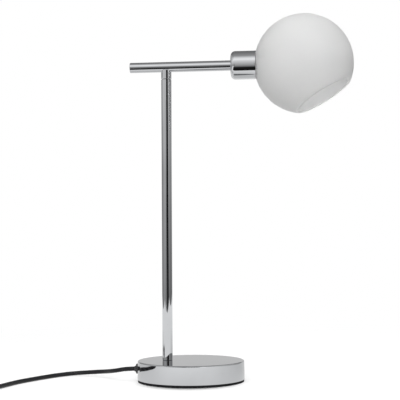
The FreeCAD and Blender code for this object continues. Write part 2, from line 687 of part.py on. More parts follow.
def holder_cap():
    """Moulded cap of the lampholder, screwed on the nipple."""
    return turned([
        (HOLDER_CAP_START, BORE_RADIUS),
        (HOLDER_CAP_START, HOLDER_NECK_RADIUS),
        (HOLDER_NECK_END, HOLDER_NECK_RADIUS),
        (HOLDER_SHOULDER, HOLDER_CAP_RADIUS),
        (HOLDER_CAP_END, HOLDER_CAP_RADIUS),
        (HOLDER_CAP_END, HOLDER_CAP_RADIUS - HOLDER_WALL),
        (HOLDER_SHOULDER - HOLDER_WALL / 2, HOLDER_CAP_RADIUS - HOLDER_WALL),
        (HOLDER_NECK_END + HOLDER_WALL, BORE_RADIUS),
    ], on_arm(0))


def terminal_block():
    """Insulating block with the two cores' holes, and a sleeve round the screw shell."""
    block_radius = HOLDER_CAP_RADIUS - HOLDER_WALL - HOLE_GAP
    sleeve_end = SHELL_END - SLEEVE_SHORT
    sleeve_bore = SHELL_RADIUS + THREAD_GAP
    block = turned([
        (BLOCK_START, 0),
        (BLOCK_START, block_radius),
        (HOLDER_CAP_END, block_radius),
        (HOLDER_CAP_END, SLEEVE_RADIUS),
        (sleeve_end, SLEEVE_RADIUS),
        (sleeve_end, sleeve_bore),
        (BLOCK_FACE, sleeve_bore),
        (BLOCK_FACE, 0),
    ], on_arm(0))
    for side in (-1, 1):
        place = on_arm(BLOCK_START) + V(0, side * TERMINAL_SPREAD, 0)
        block = block.cut(rod(CORE_RADIUS + CORD_GAP, place, BLOCK_THICKNESS / 2, X_AXIS))
    return block


def screw_shell():
    """Brass shell that takes the bulb's cap."""
    return tube(SHELL_RADIUS, SHELL_BORE, on_arm(BLOCK_FACE), SHELL_END - BLOCK_FACE, X_AXIS)


def centre_contact():
    """Bent brass tongue under the bulb's tip."""
    reach = BULB_TIP_AHEAD - CONTACT_GAP
    foot = SHELL_BORE - CONTACT_SIDE_GAP
    bend, half = foot * CONTACT_BEND, BULB_TIP_RADIUS
    shape = [
        (0, -foot), (CONTACT_SHEET, -foot), (CONTACT_SHEET, -bend), (reach, -half),
        (reach, half), (reach - CONTACT_SHEET, half), (reach - CONTACT_SHEET, -half), (0, -bend),
    ]
    corners = [on_arm(BLOCK_FACE + along) + V(0, -half / 2, up) for along, up in shape]
    return Part.Face(Part.makePolygon(corners + corners[:1])).extrude(V(0, half, 0))


def holder_skirt():
    """Threaded skirt that passes through the glass and carries the two rings."""
    lip = SHELL_BORE + THREAD_GAP
    return turned([
        (SKIRT_START, SKIRT_BORE),
        (SKIRT_START, SKIRT_RADIUS),
        (SKIRT_END - SKIRT_CHAMFER, SKIRT_RADIUS),
        (SKIRT_END, SKIRT_RADIUS - SKIRT_CHAMFER),
        (SKIRT_END, lip),
        (SKIRT_END - SKIRT_LIP, lip),
        (SKIRT_END - SKIRT_LIP, SKIRT_BORE),
    ], on_arm(0))


def glass_seat(radius, gap):
    """How far from the cup's closed end the glass's outside lies at a radius, less a gap."""
    return GLOBE_AHEAD - math.sqrt((GLOBE_RADIUS + gap) ** 2 - radius**2)


def rear_ring():
    """Ring behind the gasket, hidden in the cup."""
    front = glass_seat(SKIRT_RADIUS, SEAT_GAP) - GASKET_THICKNESS
    return tube(
        CUP_RADIUS - CUP_WALL - SEAT_GAP, SKIRT_RADIUS + THREAD_GAP,
        on_arm(front - REAR_RING_HEIGHT), REAR_RING_HEIGHT, X_AXIS,
    )


def glass_gasket():
    """Soft ring whose face follows the glass."""
    back = glass_seat(SKIRT_RADIUS, SEAT_GAP) - GASKET_THICKNESS
    ring = tube(
        CUP_RADIUS - CUP_WALL - SEAT_GAP, SKIRT_RADIUS + THREAD_GAP, on_arm(back),
        3 * GASKET_THICKNESS, X_AXIS,
    )
    return ring.cut(ball(GLOBE_RADIUS + SEAT_GAP))


def shade_ring():
    """Notched ring inside the glass; its back follows the glass."""
    inner_ball = GLOBE_RADIUS - GLASS_THICKNESS - SEAT_GAP
    back = GLOBE_AHEAD - inner_ball
    ring = tube(RING_RADIUS, SKIRT_RADIUS + THREAD_GAP, on_arm(back), RING_HEIGHT, X_AXIS)
    notch = rod(RING_NOTCH_RADIUS, on_arm(back) + V(0, 0, RING_RADIUS), RING_HEIGHT, X_AXIS)
    for copy in around(notch, RING_NOTCHES, on_arm(0), X_AXIS):
        ring = ring.cut(copy)
    return ring.common(ball(inner_ball))


# ---- Glass ---------------------------------------------------------------------------------------------
def mouth_normal():
    """The way the globe's mouth faces."""
    below = math.radians(MOUTH_BELOW_ARM)
    turn = math.radians(MOUTH_TURN)
    return V(math.cos(below), math.sin(below) * math.sin(turn), -math.sin(below) * math.cos(turn))


def glass_globe():
    """Hollow opal ball with a round hole for the holder and a slanted mouth."""
    wall = ball(GLOBE_RADIUS).cut(ball(GLOBE_RADIUS - GLASS_THICKNESS))
    wall = wall.cut(rod(GLASS_HOLE_RADIUS, on_arm(0), GLOBE_AHEAD, X_AXIS))
    normal = mouth_normal()
    plane = GLOBE_CENTRE + normal * MOUTH_DEPTH
    wall = wall.cut(rod(GLOBE_RADIUS, plane, GLOBE_RADIUS, normal))
    lips = edges_at(wall, lambda e: abs((e.CenterOfMass - plane).dot(normal)) < NEAR)
    return wall.makeFillet(MOUTH_EDGE, lips)


# ---- Bulb ----------------------------------------------------------------------------------------------
def bulb_contact():
    """Solder tip."""
    return turned([
        (0, 0), (0, BULB_TIP_RADIUS / 2), (BULB_TIP_HEIGHT / 2, BULB_TIP_RADIUS),
        (BULB_TIP_HEIGHT, BULB_TIP_RADIUS), (BULB_TIP_HEIGHT, 0),
    ], on_arm(BULB_TIP))


def bulb_insulator():
    """Dark glass cone between the tip and the cap."""
    return turned([
        (0, 0), (0, BULB_TIP_RADIUS), (BULB_INSULATOR_HEIGHT, BULB_CAP_RADIUS - BULB_CAP_SHEET),
        (BULB_INSULATOR_HEIGHT, 0),
    ], on_arm(BULB_TIP + BULB_TIP_HEIGHT))


def bulb_cap():
    """Metal screw cap of the bulb."""
    return tube(
        BULB_CAP_RADIUS, BULB_CAP_RADIUS - BULB_CAP_SHEET, on_arm(BULB_CAP_START),
        BULB_CAP_LENGTH, X_AXIS,
    )


def bulb_collar():
    """Moulded body of the bulb, plugged into its cap."""
    plug = BULB_CAP_RADIUS - BULB_CAP_SHEET - THREAD_GAP
    foot = BULB_CAP_RADIUS + BULB_COLLAR_LIP
    return turned([
        (-BULB_PLUG_LENGTH, 0),
        (-BULB_PLUG_LENGTH, plug),
        (0, plug),
        (0, foot),
        (BULB_COLLAR_LENGTH / 3, foot + BULB_COLLAR_ROUND),
        (BULB_COLLAR_LENGTH * 2 / 3, BULB_COLLAR_RADIUS - BULB_COLLAR_ROUND),
        (BULB_COLLAR_LENGTH, BULB_COLLAR_RADIUS),
        (BULB_COLLAR_LENGTH, 0),
    ], on_arm(BULB_CAP_END))


def bulb_glass():
    """Opal ball of the bulb, cut flat on its collar."""
    radius = BULB_DIAMETER / 2
    seat = BULB_CAP_END + BULB_COLLAR_LENGTH
    cut_radius = BULB_COLLAR_RADIUS - BULB_GLASS_INSET
    centre = on_arm(seat + math.sqrt(radius**2 - cut_radius**2))
    wall = Part.makeSphere(radius, centre).cut(Part.makeSphere(radius - BULB_WALL, centre))
    return wall.common(Part.makeBox(
        2 * radius, 2 * radius, 2 * radius, on_arm(seat) - V(0, radius, radius)
    ))


# ---- Cord inside the lamp --------------------------------------------------------------------------------
def cord_gland():
    """Moulded strain relief through the foot's wall, tapering at both ends."""
    flange = GLAND_FLANGE_DIAMETER / 2
    outer = GLAND_FACE - GLAND_FLANGE
    shank_end = GLAND_FACE + GLAND_SHANK
    nose = CORD_BORE + GLAND_NOSE_WALL
    return turned([
        (GLAND_TIP, CORD_BORE),
        (GLAND_TIP, nose),
        (outer, GLAND_NOSE_RADIUS),
        (outer, flange - GLAND_CHAMFER),
        (outer + GLAND_CHAMFER, flange),
        (GLAND_FACE, flange),
        (GLAND_FACE, GLAND_SHANK_RADIUS),
        (shank_end, GLAND_SHANK_RADIUS),
        (GLAND_TAIL_END, nose),
        (GLAND_TAIL_END, CORD_BORE),
    ], V(0, 0, GLAND_HEIGHT))


def gland_nut():
    """Holds the gland from inside the foot."""
    wall = math.sqrt(narrowest_inside(GLAND_NUT_RADIUS) ** 2 - GLAND_NUT_RADIUS**2)
    start = V(-wall + THREAD_GAP, 0, GLAND_HEIGHT)
    nut = hexagon(GLAND_NUT_RADIUS * math.sqrt(3), GLAND_NUT_HEIGHT, start, X_AXIS)
    return nut.cut(rod(GLAND_SHANK_RADIUS + THREAD_GAP, start, GLAND_NUT_HEIGHT, X_AXIS))


def cord_clamp():
    """Grooved bar that presses the cord against the weight."""
    length = CHANNEL_WIDTH - 2 * CLAMP_SIDE_GAP
    bar = Part.makeBox(CLAMP_WIDTH, length, CLAMP_HEIGHT, V(CLAMP_START, -length / 2, CLAMP_LOW))
    bar = bar.cut(rod(CORD_BORE, V(CLAMP_START, 0, GLAND_HEIGHT), CLAMP_WIDTH, X_AXIS))
    for side in (-1, 1):
        place = V(CLAMP_MIDDLE, side * CLAMP_SCREW_SPREAD, CLAMP_LOW)
        bar = bar.cut(rod(CLAMP_SCREW_RADIUS + HOLE_GAP, place, CLAMP_HEIGHT))
    return bar


def clamp_screws():
    """Two screws from the bar up into the weight."""
    reach = CHANNEL_CEILING + CLAMP_SCREW_GRIP - SCREW_TIP_GAP - CLAMP_LOW
    screws = []
    for side in (-1, 1):
        place = V(CLAMP_MIDDLE, side * CLAMP_SCREW_SPREAD, CLAMP_LOW)
        shank = rod(CLAMP_SCREW_RADIUS, place, reach)
        head = rod(CLAMP_SCREW_HEAD, place - V(0, 0, CLAMP_SCREW_HEAD_HEIGHT), CLAMP_SCREW_HEAD_HEIGHT)
        screws.append(shank.fuse(head))
    return Part.makeCompound(screws)


def cord_inside():
    """Sheathed cord through the gland and its clamp."""
    return rod(CORD_RADIUS, V(GLAND_TIP, 0, GLAND_HEIGHT), SHEATH_END - GLAND_TIP, X_AXIS)


def core(side):
    """One insulated core, from the sheath's end through stem and arm to its terminal."""
    y = side * CORE_SPREAD
    terminal = V(0, side * TERMINAL_SPREAD, 0)
    low = PLATE_TOP + CORE_DIAMETER
    points = [
        V(SHEATH_END, y, GLAND_HEIGHT),
        V(SHEATH_END + CORE_LEAD, y, GLAND_HEIGHT),
        V(SHEATH_END + CORE_LEAD + CORE_DIP, y, low),
        V(STEM_X, y, low),
        V(STEM_X, y, ARM_HEIGHT),
        on_arm(HOLDER_NECK_END - CORE_SETBACK) + V(0, y, 0),
        on_arm(BLOCK_START - CORE_SETBACK) + terminal,
        on_arm(BLOCK_START + BLOCK_THICKNESS / 2) + terminal,
    ]
    wire, radii = route(points, CORE_BEND)
    print("core radii", [round(r, 1) for r in radii])
    return swept(wire, CORE_RADIUS)


def core_brown():
    return core(-1)


def core_blue():
    return core(1)


# ---- Inline switch -----------------------------------------------------------------------------------------
def switch_point(x, y, z):
    """A point measured from the middle of the switch's underside."""
    return V(SWITCH_X + x, SWITCH_END.y + y, z)


def switch_form():
    """The switch's whole outside: bowed sides and a bowed top."""
    half, side, tip = SWITCH_LENGTH / 2, SWITCH_WIDTH / 2, SWITCH_END_WIDTH / 2
    plan = Part.Wire([
        Part.Arc(switch_point(half, tip, 0), switch_point(0, side, 0),
                 switch_point(-half, tip, 0)).toShape(),
        Part.LineSegment(switch_point(-half, tip, 0), switch_point(-half, -tip, 0)).toShape(),
        Part.Arc(switch_point(-half, -tip, 0), switch_point(0, -side, 0),
                 switch_point(half, -tip, 0)).toShape(),
        Part.LineSegment(switch_point(half, -tip, 0), switch_point(half, tip, 0)).toShape(),
    ])
    body = Part.Face(plan).extrude(V(0, 0, SWITCH_HEIGHT))
    profile = Part.Wire([
        Part.LineSegment(switch_point(-half, -side, 0), switch_point(half, -side, 0)).toShape(),
        Part.LineSegment(switch_point(half, -side, 0),
                         switch_point(half, -side, SWITCH_END_HEIGHT)).toShape(),
        Part.Arc(switch_point(half, -side, SWITCH_END_HEIGHT),
                 switch_point(0, -side, SWITCH_HEIGHT),
                 switch_point(-half, -side, SWITCH_END_HEIGHT)).toShape(),
        Part.LineSegment(switch_point(-half, -side, SWITCH_END_HEIGHT),
                         switch_point(-half, -side, 0)).toShape(),
    ])
    body = body.common(Part.Face(profile).extrude(V(0, SWITCH_WIDTH, 0)))
    rims = edges_at(
        body, lambda e: e.CenterOfMass.z > SWITCH_END_HEIGHT or abs(e.CenterOfMass.z) < NEAR
    )
    return body.makeFillet(SWITCH_EDGE, rims)


def cord_grips():
    """The cord's bores in both ends of the switch."""
    ends = []
    for side in (-1, 1):
        outer = switch_point(side * SWITCH_LENGTH / 2, 0, SWITCH_END.z)
        ends.append(rod(CORD_BORE, outer, SWITCH_GRIP, X_AXIS * -side))
    return ends


def switch_screw_places():
    return [switch_point(side * SWITCH_SCREW_SPREAD, 0, 0) for side in (-1, 1)]


def switch_base():
    """Lower half of the switch, with its screws' holes."""
    half = Part.makeBox(
        SWITCH_LENGTH, SWITCH_WIDTH, SWITCH_END.z,
        switch_point(-SWITCH_LENGTH / 2, -SWITCH_WIDTH / 2, 0),
    )
    lower = switch_form().common(half)
    for bore in cord_grips():
        lower = lower.cut(bore)
    for place in switch_screw_places():
        sink = SWITCH_SCREW_SINK + SWITCH_SCREW_HEAD_HEIGHT
        lower = lower.cut(rod(SWITCH_SCREW_RADIUS + HOLE_GAP, place, SWITCH_END.z))
        lower = lower.cut(rod(SWITCH_SCREW_HEAD + HOLE_GAP, place, sink))
    return lower


def switch_cover():
    """Upper half, with the rocker's window and bearings."""
    half = Part.makeBox(
        SWITCH_LENGTH, SWITCH_WIDTH, SWITCH_HEIGHT,
        switch_point(-SWITCH_LENGTH / 2, -SWITCH_WIDTH / 2, SWITCH_END.z),
    )
    upper = switch_form().common(half)
    for bore in cord_grips():
        upper = upper.cut(bore)
    reach, side = ROCKER_REACH + ROCKER_GAP, ROCKER_WIDTH / 2 + ROCKER_GAP
    window = Part.makeBox(2 * reach, 2 * side, SWITCH_HEIGHT, switch_point(-reach, -side, SWITCH_END.z))
    bearing_width = ROCKER_WIDTH / 2 + ROCKER_PIN_LENGTH + ROCKER_GAP
    bearing = rod(
        ROCKER_PIN_RADIUS + PIVOT_GAP, switch_point(0, -bearing_width, ROCKER_PIVOT_HEIGHT),
        2 * bearing_width, Y_AXIS,
    )
    upper = upper.cut(window).cut(bearing)
    for place in switch_screw_places():
        start = place + V(0, 0, SWITCH_END.z)
        tip = SWITCH_SCREW_SINK + SWITCH_SCREW_HEAD_HEIGHT + SWITCH_SCREW_LENGTH
        depth = tip + SCREW_TIP_GAP - SWITCH_END.z
        upper = upper.cut(rod(SWITCH_SCREW_RADIUS + THREAD_GAP, start, depth))
    return upper


def switch_rocker():
    """V-topped rocker on two pins, at rest tipped to one side."""
    tip = math.sqrt(ROCKER_REACH**2 - ROCKER_TIP_RISE**2)
    room = ROCKER_PIVOT_HEIGHT - SWITCH_END.z - ROCKER_HEEL_GAP
    heel_angle = math.asin(room / ROCKER_REACH) - math.radians(ROCKER_REST_TILT)
    heel, below = ROCKER_REACH * math.cos(heel_angle), ROCKER_REACH * math.sin(heel_angle)
    y = -ROCKER_WIDTH / 2

    def at(x, z):
        return switch_point(x, y, ROCKER_PIVOT_HEIGHT + z)

    outline = Part.Wire([
        Part.LineSegment(at(-tip, ROCKER_TIP_RISE), at(0, ROCKER_DIP)).toShape(),
        Part.LineSegment(at(0, ROCKER_DIP), at(tip, ROCKER_TIP_RISE)).toShape(),
        Part.Arc(at(tip, ROCKER_TIP_RISE), at(ROCKER_REACH, 0), at(heel, -below)).toShape(),
        Part.LineSegment(at(heel, -below), at(-heel, -below)).toShape(),
        Part.Arc(at(-heel, -below), at(-ROCKER_REACH, 0),
                 at(-tip, ROCKER_TIP_RISE)).toShape(),
    ])
    body = Part.Face(outline).extrude(V(0, ROCKER_WIDTH, 0))
    pivot = switch_point(0, 0, ROCKER_PIVOT_HEIGHT)
    pin_reach = ROCKER_WIDTH / 2 + ROCKER_PIN_LENGTH
    pins = rod(ROCKER_PIN_RADIUS, pivot - V(0, pin_reach, 0), 2 * pin_reach, Y_AXIS)
    rocker = body.fuse(pins).removeSplitter()
    rocker.rotate(pivot, Y_AXIS, ROCKER_REST_TILT)
    return rocker


def switch_screws():
    """Two screws from the switch's underside."""
    screws = []
    for place in switch_screw_places():
        head = rod(SWITCH_SCREW_HEAD, place + V(0, 0, SWITCH_SCREW_SINK), SWITCH_SCREW_HEAD_HEIGHT)
        slot = Part.makeBox(
            2 * SWITCH_SCREW_HEAD, SWITCH_SLOT, SWITCH_SLOT,
            place + V(-SWITCH_SCREW_HEAD, -SWITCH_SLOT / 2, SWITCH_SCREW_SINK),
        )
        start = place + V(0, 0, SWITCH_SCREW_SINK + SWITCH_SCREW_HEAD_HEIGHT)
        screws.append(head.cut(slot).fuse(rod(SWITCH_SCREW_RADIUS, start, SWITCH_SCREW_LENGTH)))
    return Part.makeCompound(screws)


# ---- Coil and tie --------------------------------------------------------------------------------------------
def coil_point(turn):
    """Middle of the cord after so many turns, and the way it runs there."""
    middle = COIL_TURNS / 2
    angle = math.pi - 2 * math.pi * turn
    radius = COIL_RADIUS - COIL_PITCH * min(turn, COIL_TURNS - turn)
    climb = min(max((turn - middle) / COIL_CLIMB + 0.5, 0), 1)
    height = COIL_LOW + COIL_PITCH * (1 - math.cos(math.pi * climb)) / 2
    inward = 0 if turn in (0, middle, COIL_TURNS) else math.copysign(COIL_PITCH, turn - middle)
    rise = COIL_PITCH * math.pi * math.sin(math.pi * climb) / (2 * COIL_CLIMB)
    outward = V(math.cos(angle), math.sin(angle), 0)
    along = V(math.sin(angle), -math.cos(angle), 0)
    place = COIL_CENTRE + outward * radius + V(0, 0, height)
    heading = outward * inward + along * (2 * math.pi * radius) + V(0, 0, rise)
    return place, heading.normalize()


def coil_gap():
    """Least gap between turns of the coil, on points a twelfth of a turn apart."""
    steps = 12
    points = [coil_point(k / steps)[0] for k in range(COIL_TURNS * steps + 1)]
    least = min(
        (points[i] - points[j]).Length
        for i in range(len(points)) for j in range(i + steps // 2, len(points))
    )
    return least - CORD_DIAMETER


def cord_coil():
    """The put-away length: in along the floor, up a layer, and out again on top."""
    knots = [coil_point(k / 4) for k in range(4 * COIL_TURNS + 1)]
    lead = V(0, CORD_DIAMETER, 0)
    edges = [Part.LineSegment(knots[0][0] - lead, knots[0][0]).toShape()]
    for (start, leaving), (end, arriving) in zip(knots, knots[1:]):
        edges += biarc(start, leaving, end, arriving)
    edges.append(Part.LineSegment(knots[-1][0], knots[-1][0] + lead).toShape())
    wire = Part.Wire(Part.sortEdges(edges)[0])
    solid = swept(wire, CORD_RADIUS)
    print("coil length", round(wire.Length, 1), "volume", round(solid.Volume, 1), "of",
          round(math.pi * CORD_RADIUS**2 * wire.Length, 1), "least gap", round(coil_gap(), 2))
    return solid


def rounded_bar(low, high, radius):
    """A bar as deep in Y as the tie is wide, with its edges along Y rounded."""
    x0, z0, x1, z1 = low.x, low.z, high.x, high.z
    box = Part.makeBox(x1 - x0, TIE_WIDTH, z1 - z0, V(x0, low.y, z0))
    return box.makeFillet(radius, edges_at(box, lambda e: abs(e.tangentAt(0).y) > 0.5))


def cord_tie():
    """Flat strap round the coil, with its overlapping end on top."""
    half_coil = COIL_PITCH * COIL_TURNS / 2
    y = COIL_CENTRE.y - TIE_WIDTH / 2
    inner_low = V(COIL_CENTRE.x + COIL_RADIUS - half_coil - CORD_RADIUS - TIE_GAP, y, TIE_THICKNESS)
    inner_high = V(COIL_CENTRE.x + COIL_RADIUS + CORD_RADIUS + TIE_GAP - COIL_PITCH / 2, y,
                   COIL_HIGH + CORD_RADIUS + TIE_GAP / 2)
    skin = V(TIE_THICKNESS, 0, TIE_THICKNESS)
    outside = rounded_bar(inner_low - skin, inner_high + skin, TIE_CORNER + TIE_THICKNESS)
    band = outside.cut(rounded_bar(inner_low, inner_high, TIE_CORNER))
    flap = Part.makeBox(
        TIE_FLAP, TIE_WIDTH, TIE_THICKNESS,
        V((inner_low.x + inner_high.x - TIE_FLAP) / 2, y, inner_high.z + TIE_THICKNESS),
    )
    return band.fuse(flap)


# ---- Plug -------------------------------------------------------------------------------------------------------
def plug_relief():
    """Tapered, grooved sleeve behind the plug."""
    outline = [(0, CORD_BORE)]
    pitch = RELIEF_LENGTH / (RELIEF_GROOVES + 1)
    slope = (RELIEF_RADIUS - RELIEF_END_RADIUS) / RELIEF_LENGTH
    outline.append((0, RELIEF_END_RADIUS))
    for k in range(1, RELIEF_GROOVES + 1):
        near = pitch * (k - RELIEF_GROOVE_SHARE / 2)
        far = pitch * (k + RELIEF_GROOVE_SHARE / 2)
        for along, sunk in ((near, 0), (near, 1), (far, 1), (far, 0)):
            radius = RELIEF_END_RADIUS + slope * along - sunk * RELIEF_GROOVE_DEPTH
            outline.append((along, max(radius, CORD_BORE + RELIEF_SKIN)))
    outline += [(RELIEF_LENGTH, RELIEF_RADIUS), (RELIEF_LENGTH, CORD_BORE)]
    return turned(outline, PLUG_START, Y_AXIS)


def plug_lead():
    """The cord inside the plug's sleeve."""
    return rod(CORD_RADIUS, PLUG_START, RELIEF_LENGTH, Y_AXIS)


def pin_places():
    return [V(PLUG_START.x + side * PIN_SPACING / 2, PLUG_FACE, PLUG_START.z) for side in (-1, 1)]


def plug_body():
    """Flat moulded two-pin plug."""
    front, rear = PLUG_WIDTH / 2, PLUG_REAR_WIDTH / 2
    low = PLUG_START.z - PLUG_THICKNESS / 2

    def at(x, y):
        return V(PLUG_START.x + x, y, low)

    shoulder = PLUG_FACE - PLUG_STRAIGHT
    waist = (PLUG_BACK + shoulder) / 2
    bow = (front + rear) / 2 + PLUG_BELLY
    outline = Part.Wire([
        Part.LineSegment(at(-rear, PLUG_BACK), at(rear, PLUG_BACK)).toShape(),
        Part.Arc(at(rear, PLUG_BACK), at(bow, waist), at(front, shoulder)).toShape(),
        Part.LineSegment(at(front, shoulder), at(front, PLUG_FACE)).toShape(),
        Part.LineSegment(at(front, PLUG_FACE), at(-front, PLUG_FACE)).toShape(),
        Part.LineSegment(at(-front, PLUG_FACE), at(-front, shoulder)).toShape(),
        Part.Arc(at(-front, shoulder), at(-bow, waist), at(-rear, PLUG_BACK)).toShape(),
    ])
    body = Part.Face(outline).extrude(V(0, 0, PLUG_THICKNESS))
    body = body.makeFillet(PLUG_EDGE, body.Edges)
    for place in pin_places():
        body = body.cut(rod(PIN_CORE_RADIUS + THREAD_GAP, place - V(0, PIN_ROOT, 0), PIN_ROOT, Y_AXIS))
    return body


def plug_pins():
    """Two round pins, thinner inside their sleeves."""
    pins = []
    for place in pin_places():
        tip_length = PIN_LENGTH - PIN_SLEEVE
        tip = rod(PIN_RADIUS, place + V(0, PIN_SLEEVE, 0), tip_length, Y_AXIS)
        end = edges_at(
            tip, lambda e: len(e.Vertexes) == 1 and abs(e.CenterOfMass.y - place.y - PIN_LENGTH) < NEAR
        )
        tip = tip.makeFillet(PIN_END_ROUND, end)
        shaft = rod(PIN_CORE_RADIUS, place - V(0, PIN_ROOT, 0), PIN_ROOT + PIN_SLEEVE, Y_AXIS)
        pins.append(tip.fuse(shaft))
    return Part.makeCompound(pins)


def plug_sleeves():
    """Insulating sleeves on the pins' roots."""
    return Part.makeCompound([
        tube(PIN_SLEEVE_RADIUS, PIN_CORE_RADIUS + THREAD_GAP, place, PIN_SLEEVE, Y_AXIS)
        for place in pin_places()
    ])


PIECES = [
    base_shell, base_weight, base_plate, foot_pad, plate_screws,
    stem_tube, stem_nipple, stem_nut, stem_washer, seam_nipple,
    arm_socket, arm_tube, arm_end_cap, arm_nipple, arm_washer, arm_nut,
    holder_cup, holder_cap, terminal_block, screw_shell, centre_contact, holder_skirt,
    rear_ring, glass_gasket, shade_ring, glass_globe,
    bulb_contact, bulb_insulator, bulb_cap, bulb_collar, bulb_glass,
    cord_gland, gland_nut, cord_clamp, clamp_screws, cord_inside, core_brown, core_blue,
    switch_base, switch_cover, switch_rocker, switch_screws,
    cord_coil, cord_tie,
    plug_relief, plug_lead, plug_body, plug_pins, plug_sleeves,
]

for piece in PIECES:
    save(piece.__name__, piece())
save("cord_lamp_run", cord("lamp run", LAMP_RUN))
save("cord_switch_run", cord("switch run", SWITCH_RUN))
save("cord_plug_run", cord("plug run", PLUG_RUN))
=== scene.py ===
"""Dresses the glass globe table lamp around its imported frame: flex, finishes, fine detail and studio."""

import json
from math import atan2, cos, pi, radians, sin, tan

import bmesh
import bpy
from bpy.props import FloatProperty, FloatVectorProperty, IntProperty, PointerProperty
from mathutils import Matrix, Vector


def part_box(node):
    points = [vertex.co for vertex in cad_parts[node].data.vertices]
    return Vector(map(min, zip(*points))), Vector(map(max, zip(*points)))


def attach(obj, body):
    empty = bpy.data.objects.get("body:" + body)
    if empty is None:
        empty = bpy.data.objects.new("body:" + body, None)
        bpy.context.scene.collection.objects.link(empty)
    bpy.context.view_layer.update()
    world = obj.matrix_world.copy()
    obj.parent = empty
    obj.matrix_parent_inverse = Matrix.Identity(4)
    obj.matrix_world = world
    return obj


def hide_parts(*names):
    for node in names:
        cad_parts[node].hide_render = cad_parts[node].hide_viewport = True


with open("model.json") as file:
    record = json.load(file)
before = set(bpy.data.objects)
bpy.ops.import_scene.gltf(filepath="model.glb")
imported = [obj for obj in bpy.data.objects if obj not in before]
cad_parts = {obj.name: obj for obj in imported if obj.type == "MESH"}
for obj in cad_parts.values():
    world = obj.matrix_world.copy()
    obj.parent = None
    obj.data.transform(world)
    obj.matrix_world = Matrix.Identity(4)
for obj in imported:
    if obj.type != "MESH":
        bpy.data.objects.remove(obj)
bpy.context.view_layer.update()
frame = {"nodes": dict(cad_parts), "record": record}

bl_info = {
    "name": "Glass globe table lamp",
    "version": (1, 0, 0),
    "blender": (4, 5, 0),
    "location": "3D View > Sidebar > Lamp",
    "description": "Gives the glass globe table lamp its flex, finishes, fine detail and studio",
    "category": "Object",
}

NODES = frame["nodes"]

# The flex's route, in metres, after the part's source. The points of the run from the lamp were moved to
# follow the photograph, so its line leaves the source's tube by up to 5 mm. The rest keeps to it.
GLAND_TIP = (-0.071925, 0.0, 0.015)
LAMP_RUN = (
    GLAND_TIP, (-0.083, 0.0, 0.01465), (-0.0935, 0.0035, 0.0126), (-0.1025, 0.0115, 0.0105),
    (-0.1105, 0.023, 0.0086), (-0.120, 0.0345, 0.0068), (-0.136, 0.042, 0.0051), (-0.155, 0.043, 0.0038),
    (-0.1715, 0.0355, 0.0029), (-0.184, 0.018, 0.00275), (-0.198, -0.011, 0.00275),
    (-0.2115, -0.042, 0.00275), (-0.219, -0.076, 0.00275), (-0.2245, -0.104, 0.0033),
    (-0.236, -0.123, 0.006), (-0.253, -0.131, 0.0085), (-0.268, -0.131, 0.0085),
)
SWITCH_RUN = (
    (-0.318, -0.131, 0.0085), (-0.333, -0.131, 0.0085), (-0.350, -0.125, 0.0064),
    (-0.361, -0.109, 0.0044), (-0.364, -0.088, 0.00365), (-0.364, -0.0705, 0.00365),
)
PLUG_RUN = (
    (-0.364, -0.0535, 0.00965), (-0.364, -0.0465, 0.00965), (-0.364, -0.0365, 0.00685),
    (-0.364, -0.0285, 0.00685), (-0.364, -0.010, 0.00685),
)
COIL_CENTRE = (-0.323, -0.062)
COIL_LOW, COIL_HIGH = 0.00365, 0.00965
FLEX_PIECES = (
    "switch_base", "switch_cover", "switch_rocker", "switch_screws",
    "plug_relief", "plug_body", "plug_pins", "plug_sleeves",
)

# The coil's strap, in metres. Across its width it is made of strips, each a share of the width, and the
# edges of the strips lie so much lower than the ridge that the wire makes along the middle.
TIE_THICKNESS, TIE_CORNER, TIE_FLAP = 0.0006, 0.003, 0.012
TIE_STRIPS = (0.36, 0.06, 0.08, 0.08, 0.06, 0.36)
TIE_DROPS = (0.00026, 0.00024, 0.0001, 0.0, 0.0001, 0.00024, 0.00026)
TIE_SKIN = 0.75  # share of the thickness that the strap's sheet has

# The switch's rocker at rest, in metres and radians, as in the part's source.
ROCKER_PIVOT = (-0.293, -0.131, 0.0142)
ROCKER_TILT = radians(12)
ROCKER_TIP, ROCKER_TIP_RISE, ROCKER_DIP = 0.00788, 0.0026, 0.0012

# The grip ribs at the rocker's ends, in metres, which the part's source doesn't have.
RIB_LENGTH, RIB_WIDTH, RIB_HEIGHT, RIB_EDGE = 0.0064, 0.0005, 0.0006, 0.00015
RIB_REACHES = (0.0050, 0.0060, 0.0070)  # pivot to the middle of each rib

# The camera, fitted to the photograph.
CAMERA_PLACE = Vector((0.147161, -1.265110, 0.164990))
CAMERA_AIM = Vector((-0.10554357, 0.99317347, 0.04966908))
CAMERA_ROLL = radians(-0.365)
CAMERA_LENS = 90.216
SENSOR_WIDTH = 36.0

# The paper floor, in metres, with a soft shadow painted into its colour in front of the foot.
FLOOR_HEIGHT = -0.0002  # just clear of the foot's pad, which would otherwise share its plane
FLOOR_REACH = 12.0
PAINTED_SHADOW_SHIFT = 0.022  # the middle of the soft shadow lies this far in front of the foot's
PAINTED_SHADOW_RANGE = (0.045, 0.068)  # where that shadow starts to fade, and where it has gone
PLAIN_RANGE = (0.3, 0.9)  # where the paper starts to turn plain white, and where it is
MIRROR_RANGE = (-0.25, 0.1)  # along Y, where mirrors start to see it darker, and where that ends

LIGHT_AIM = (0.0, 0.0, 0.25)
NO_FADE = ("X", 0.0, 1.0, 1.0)  # a card's fade to all of its brightness

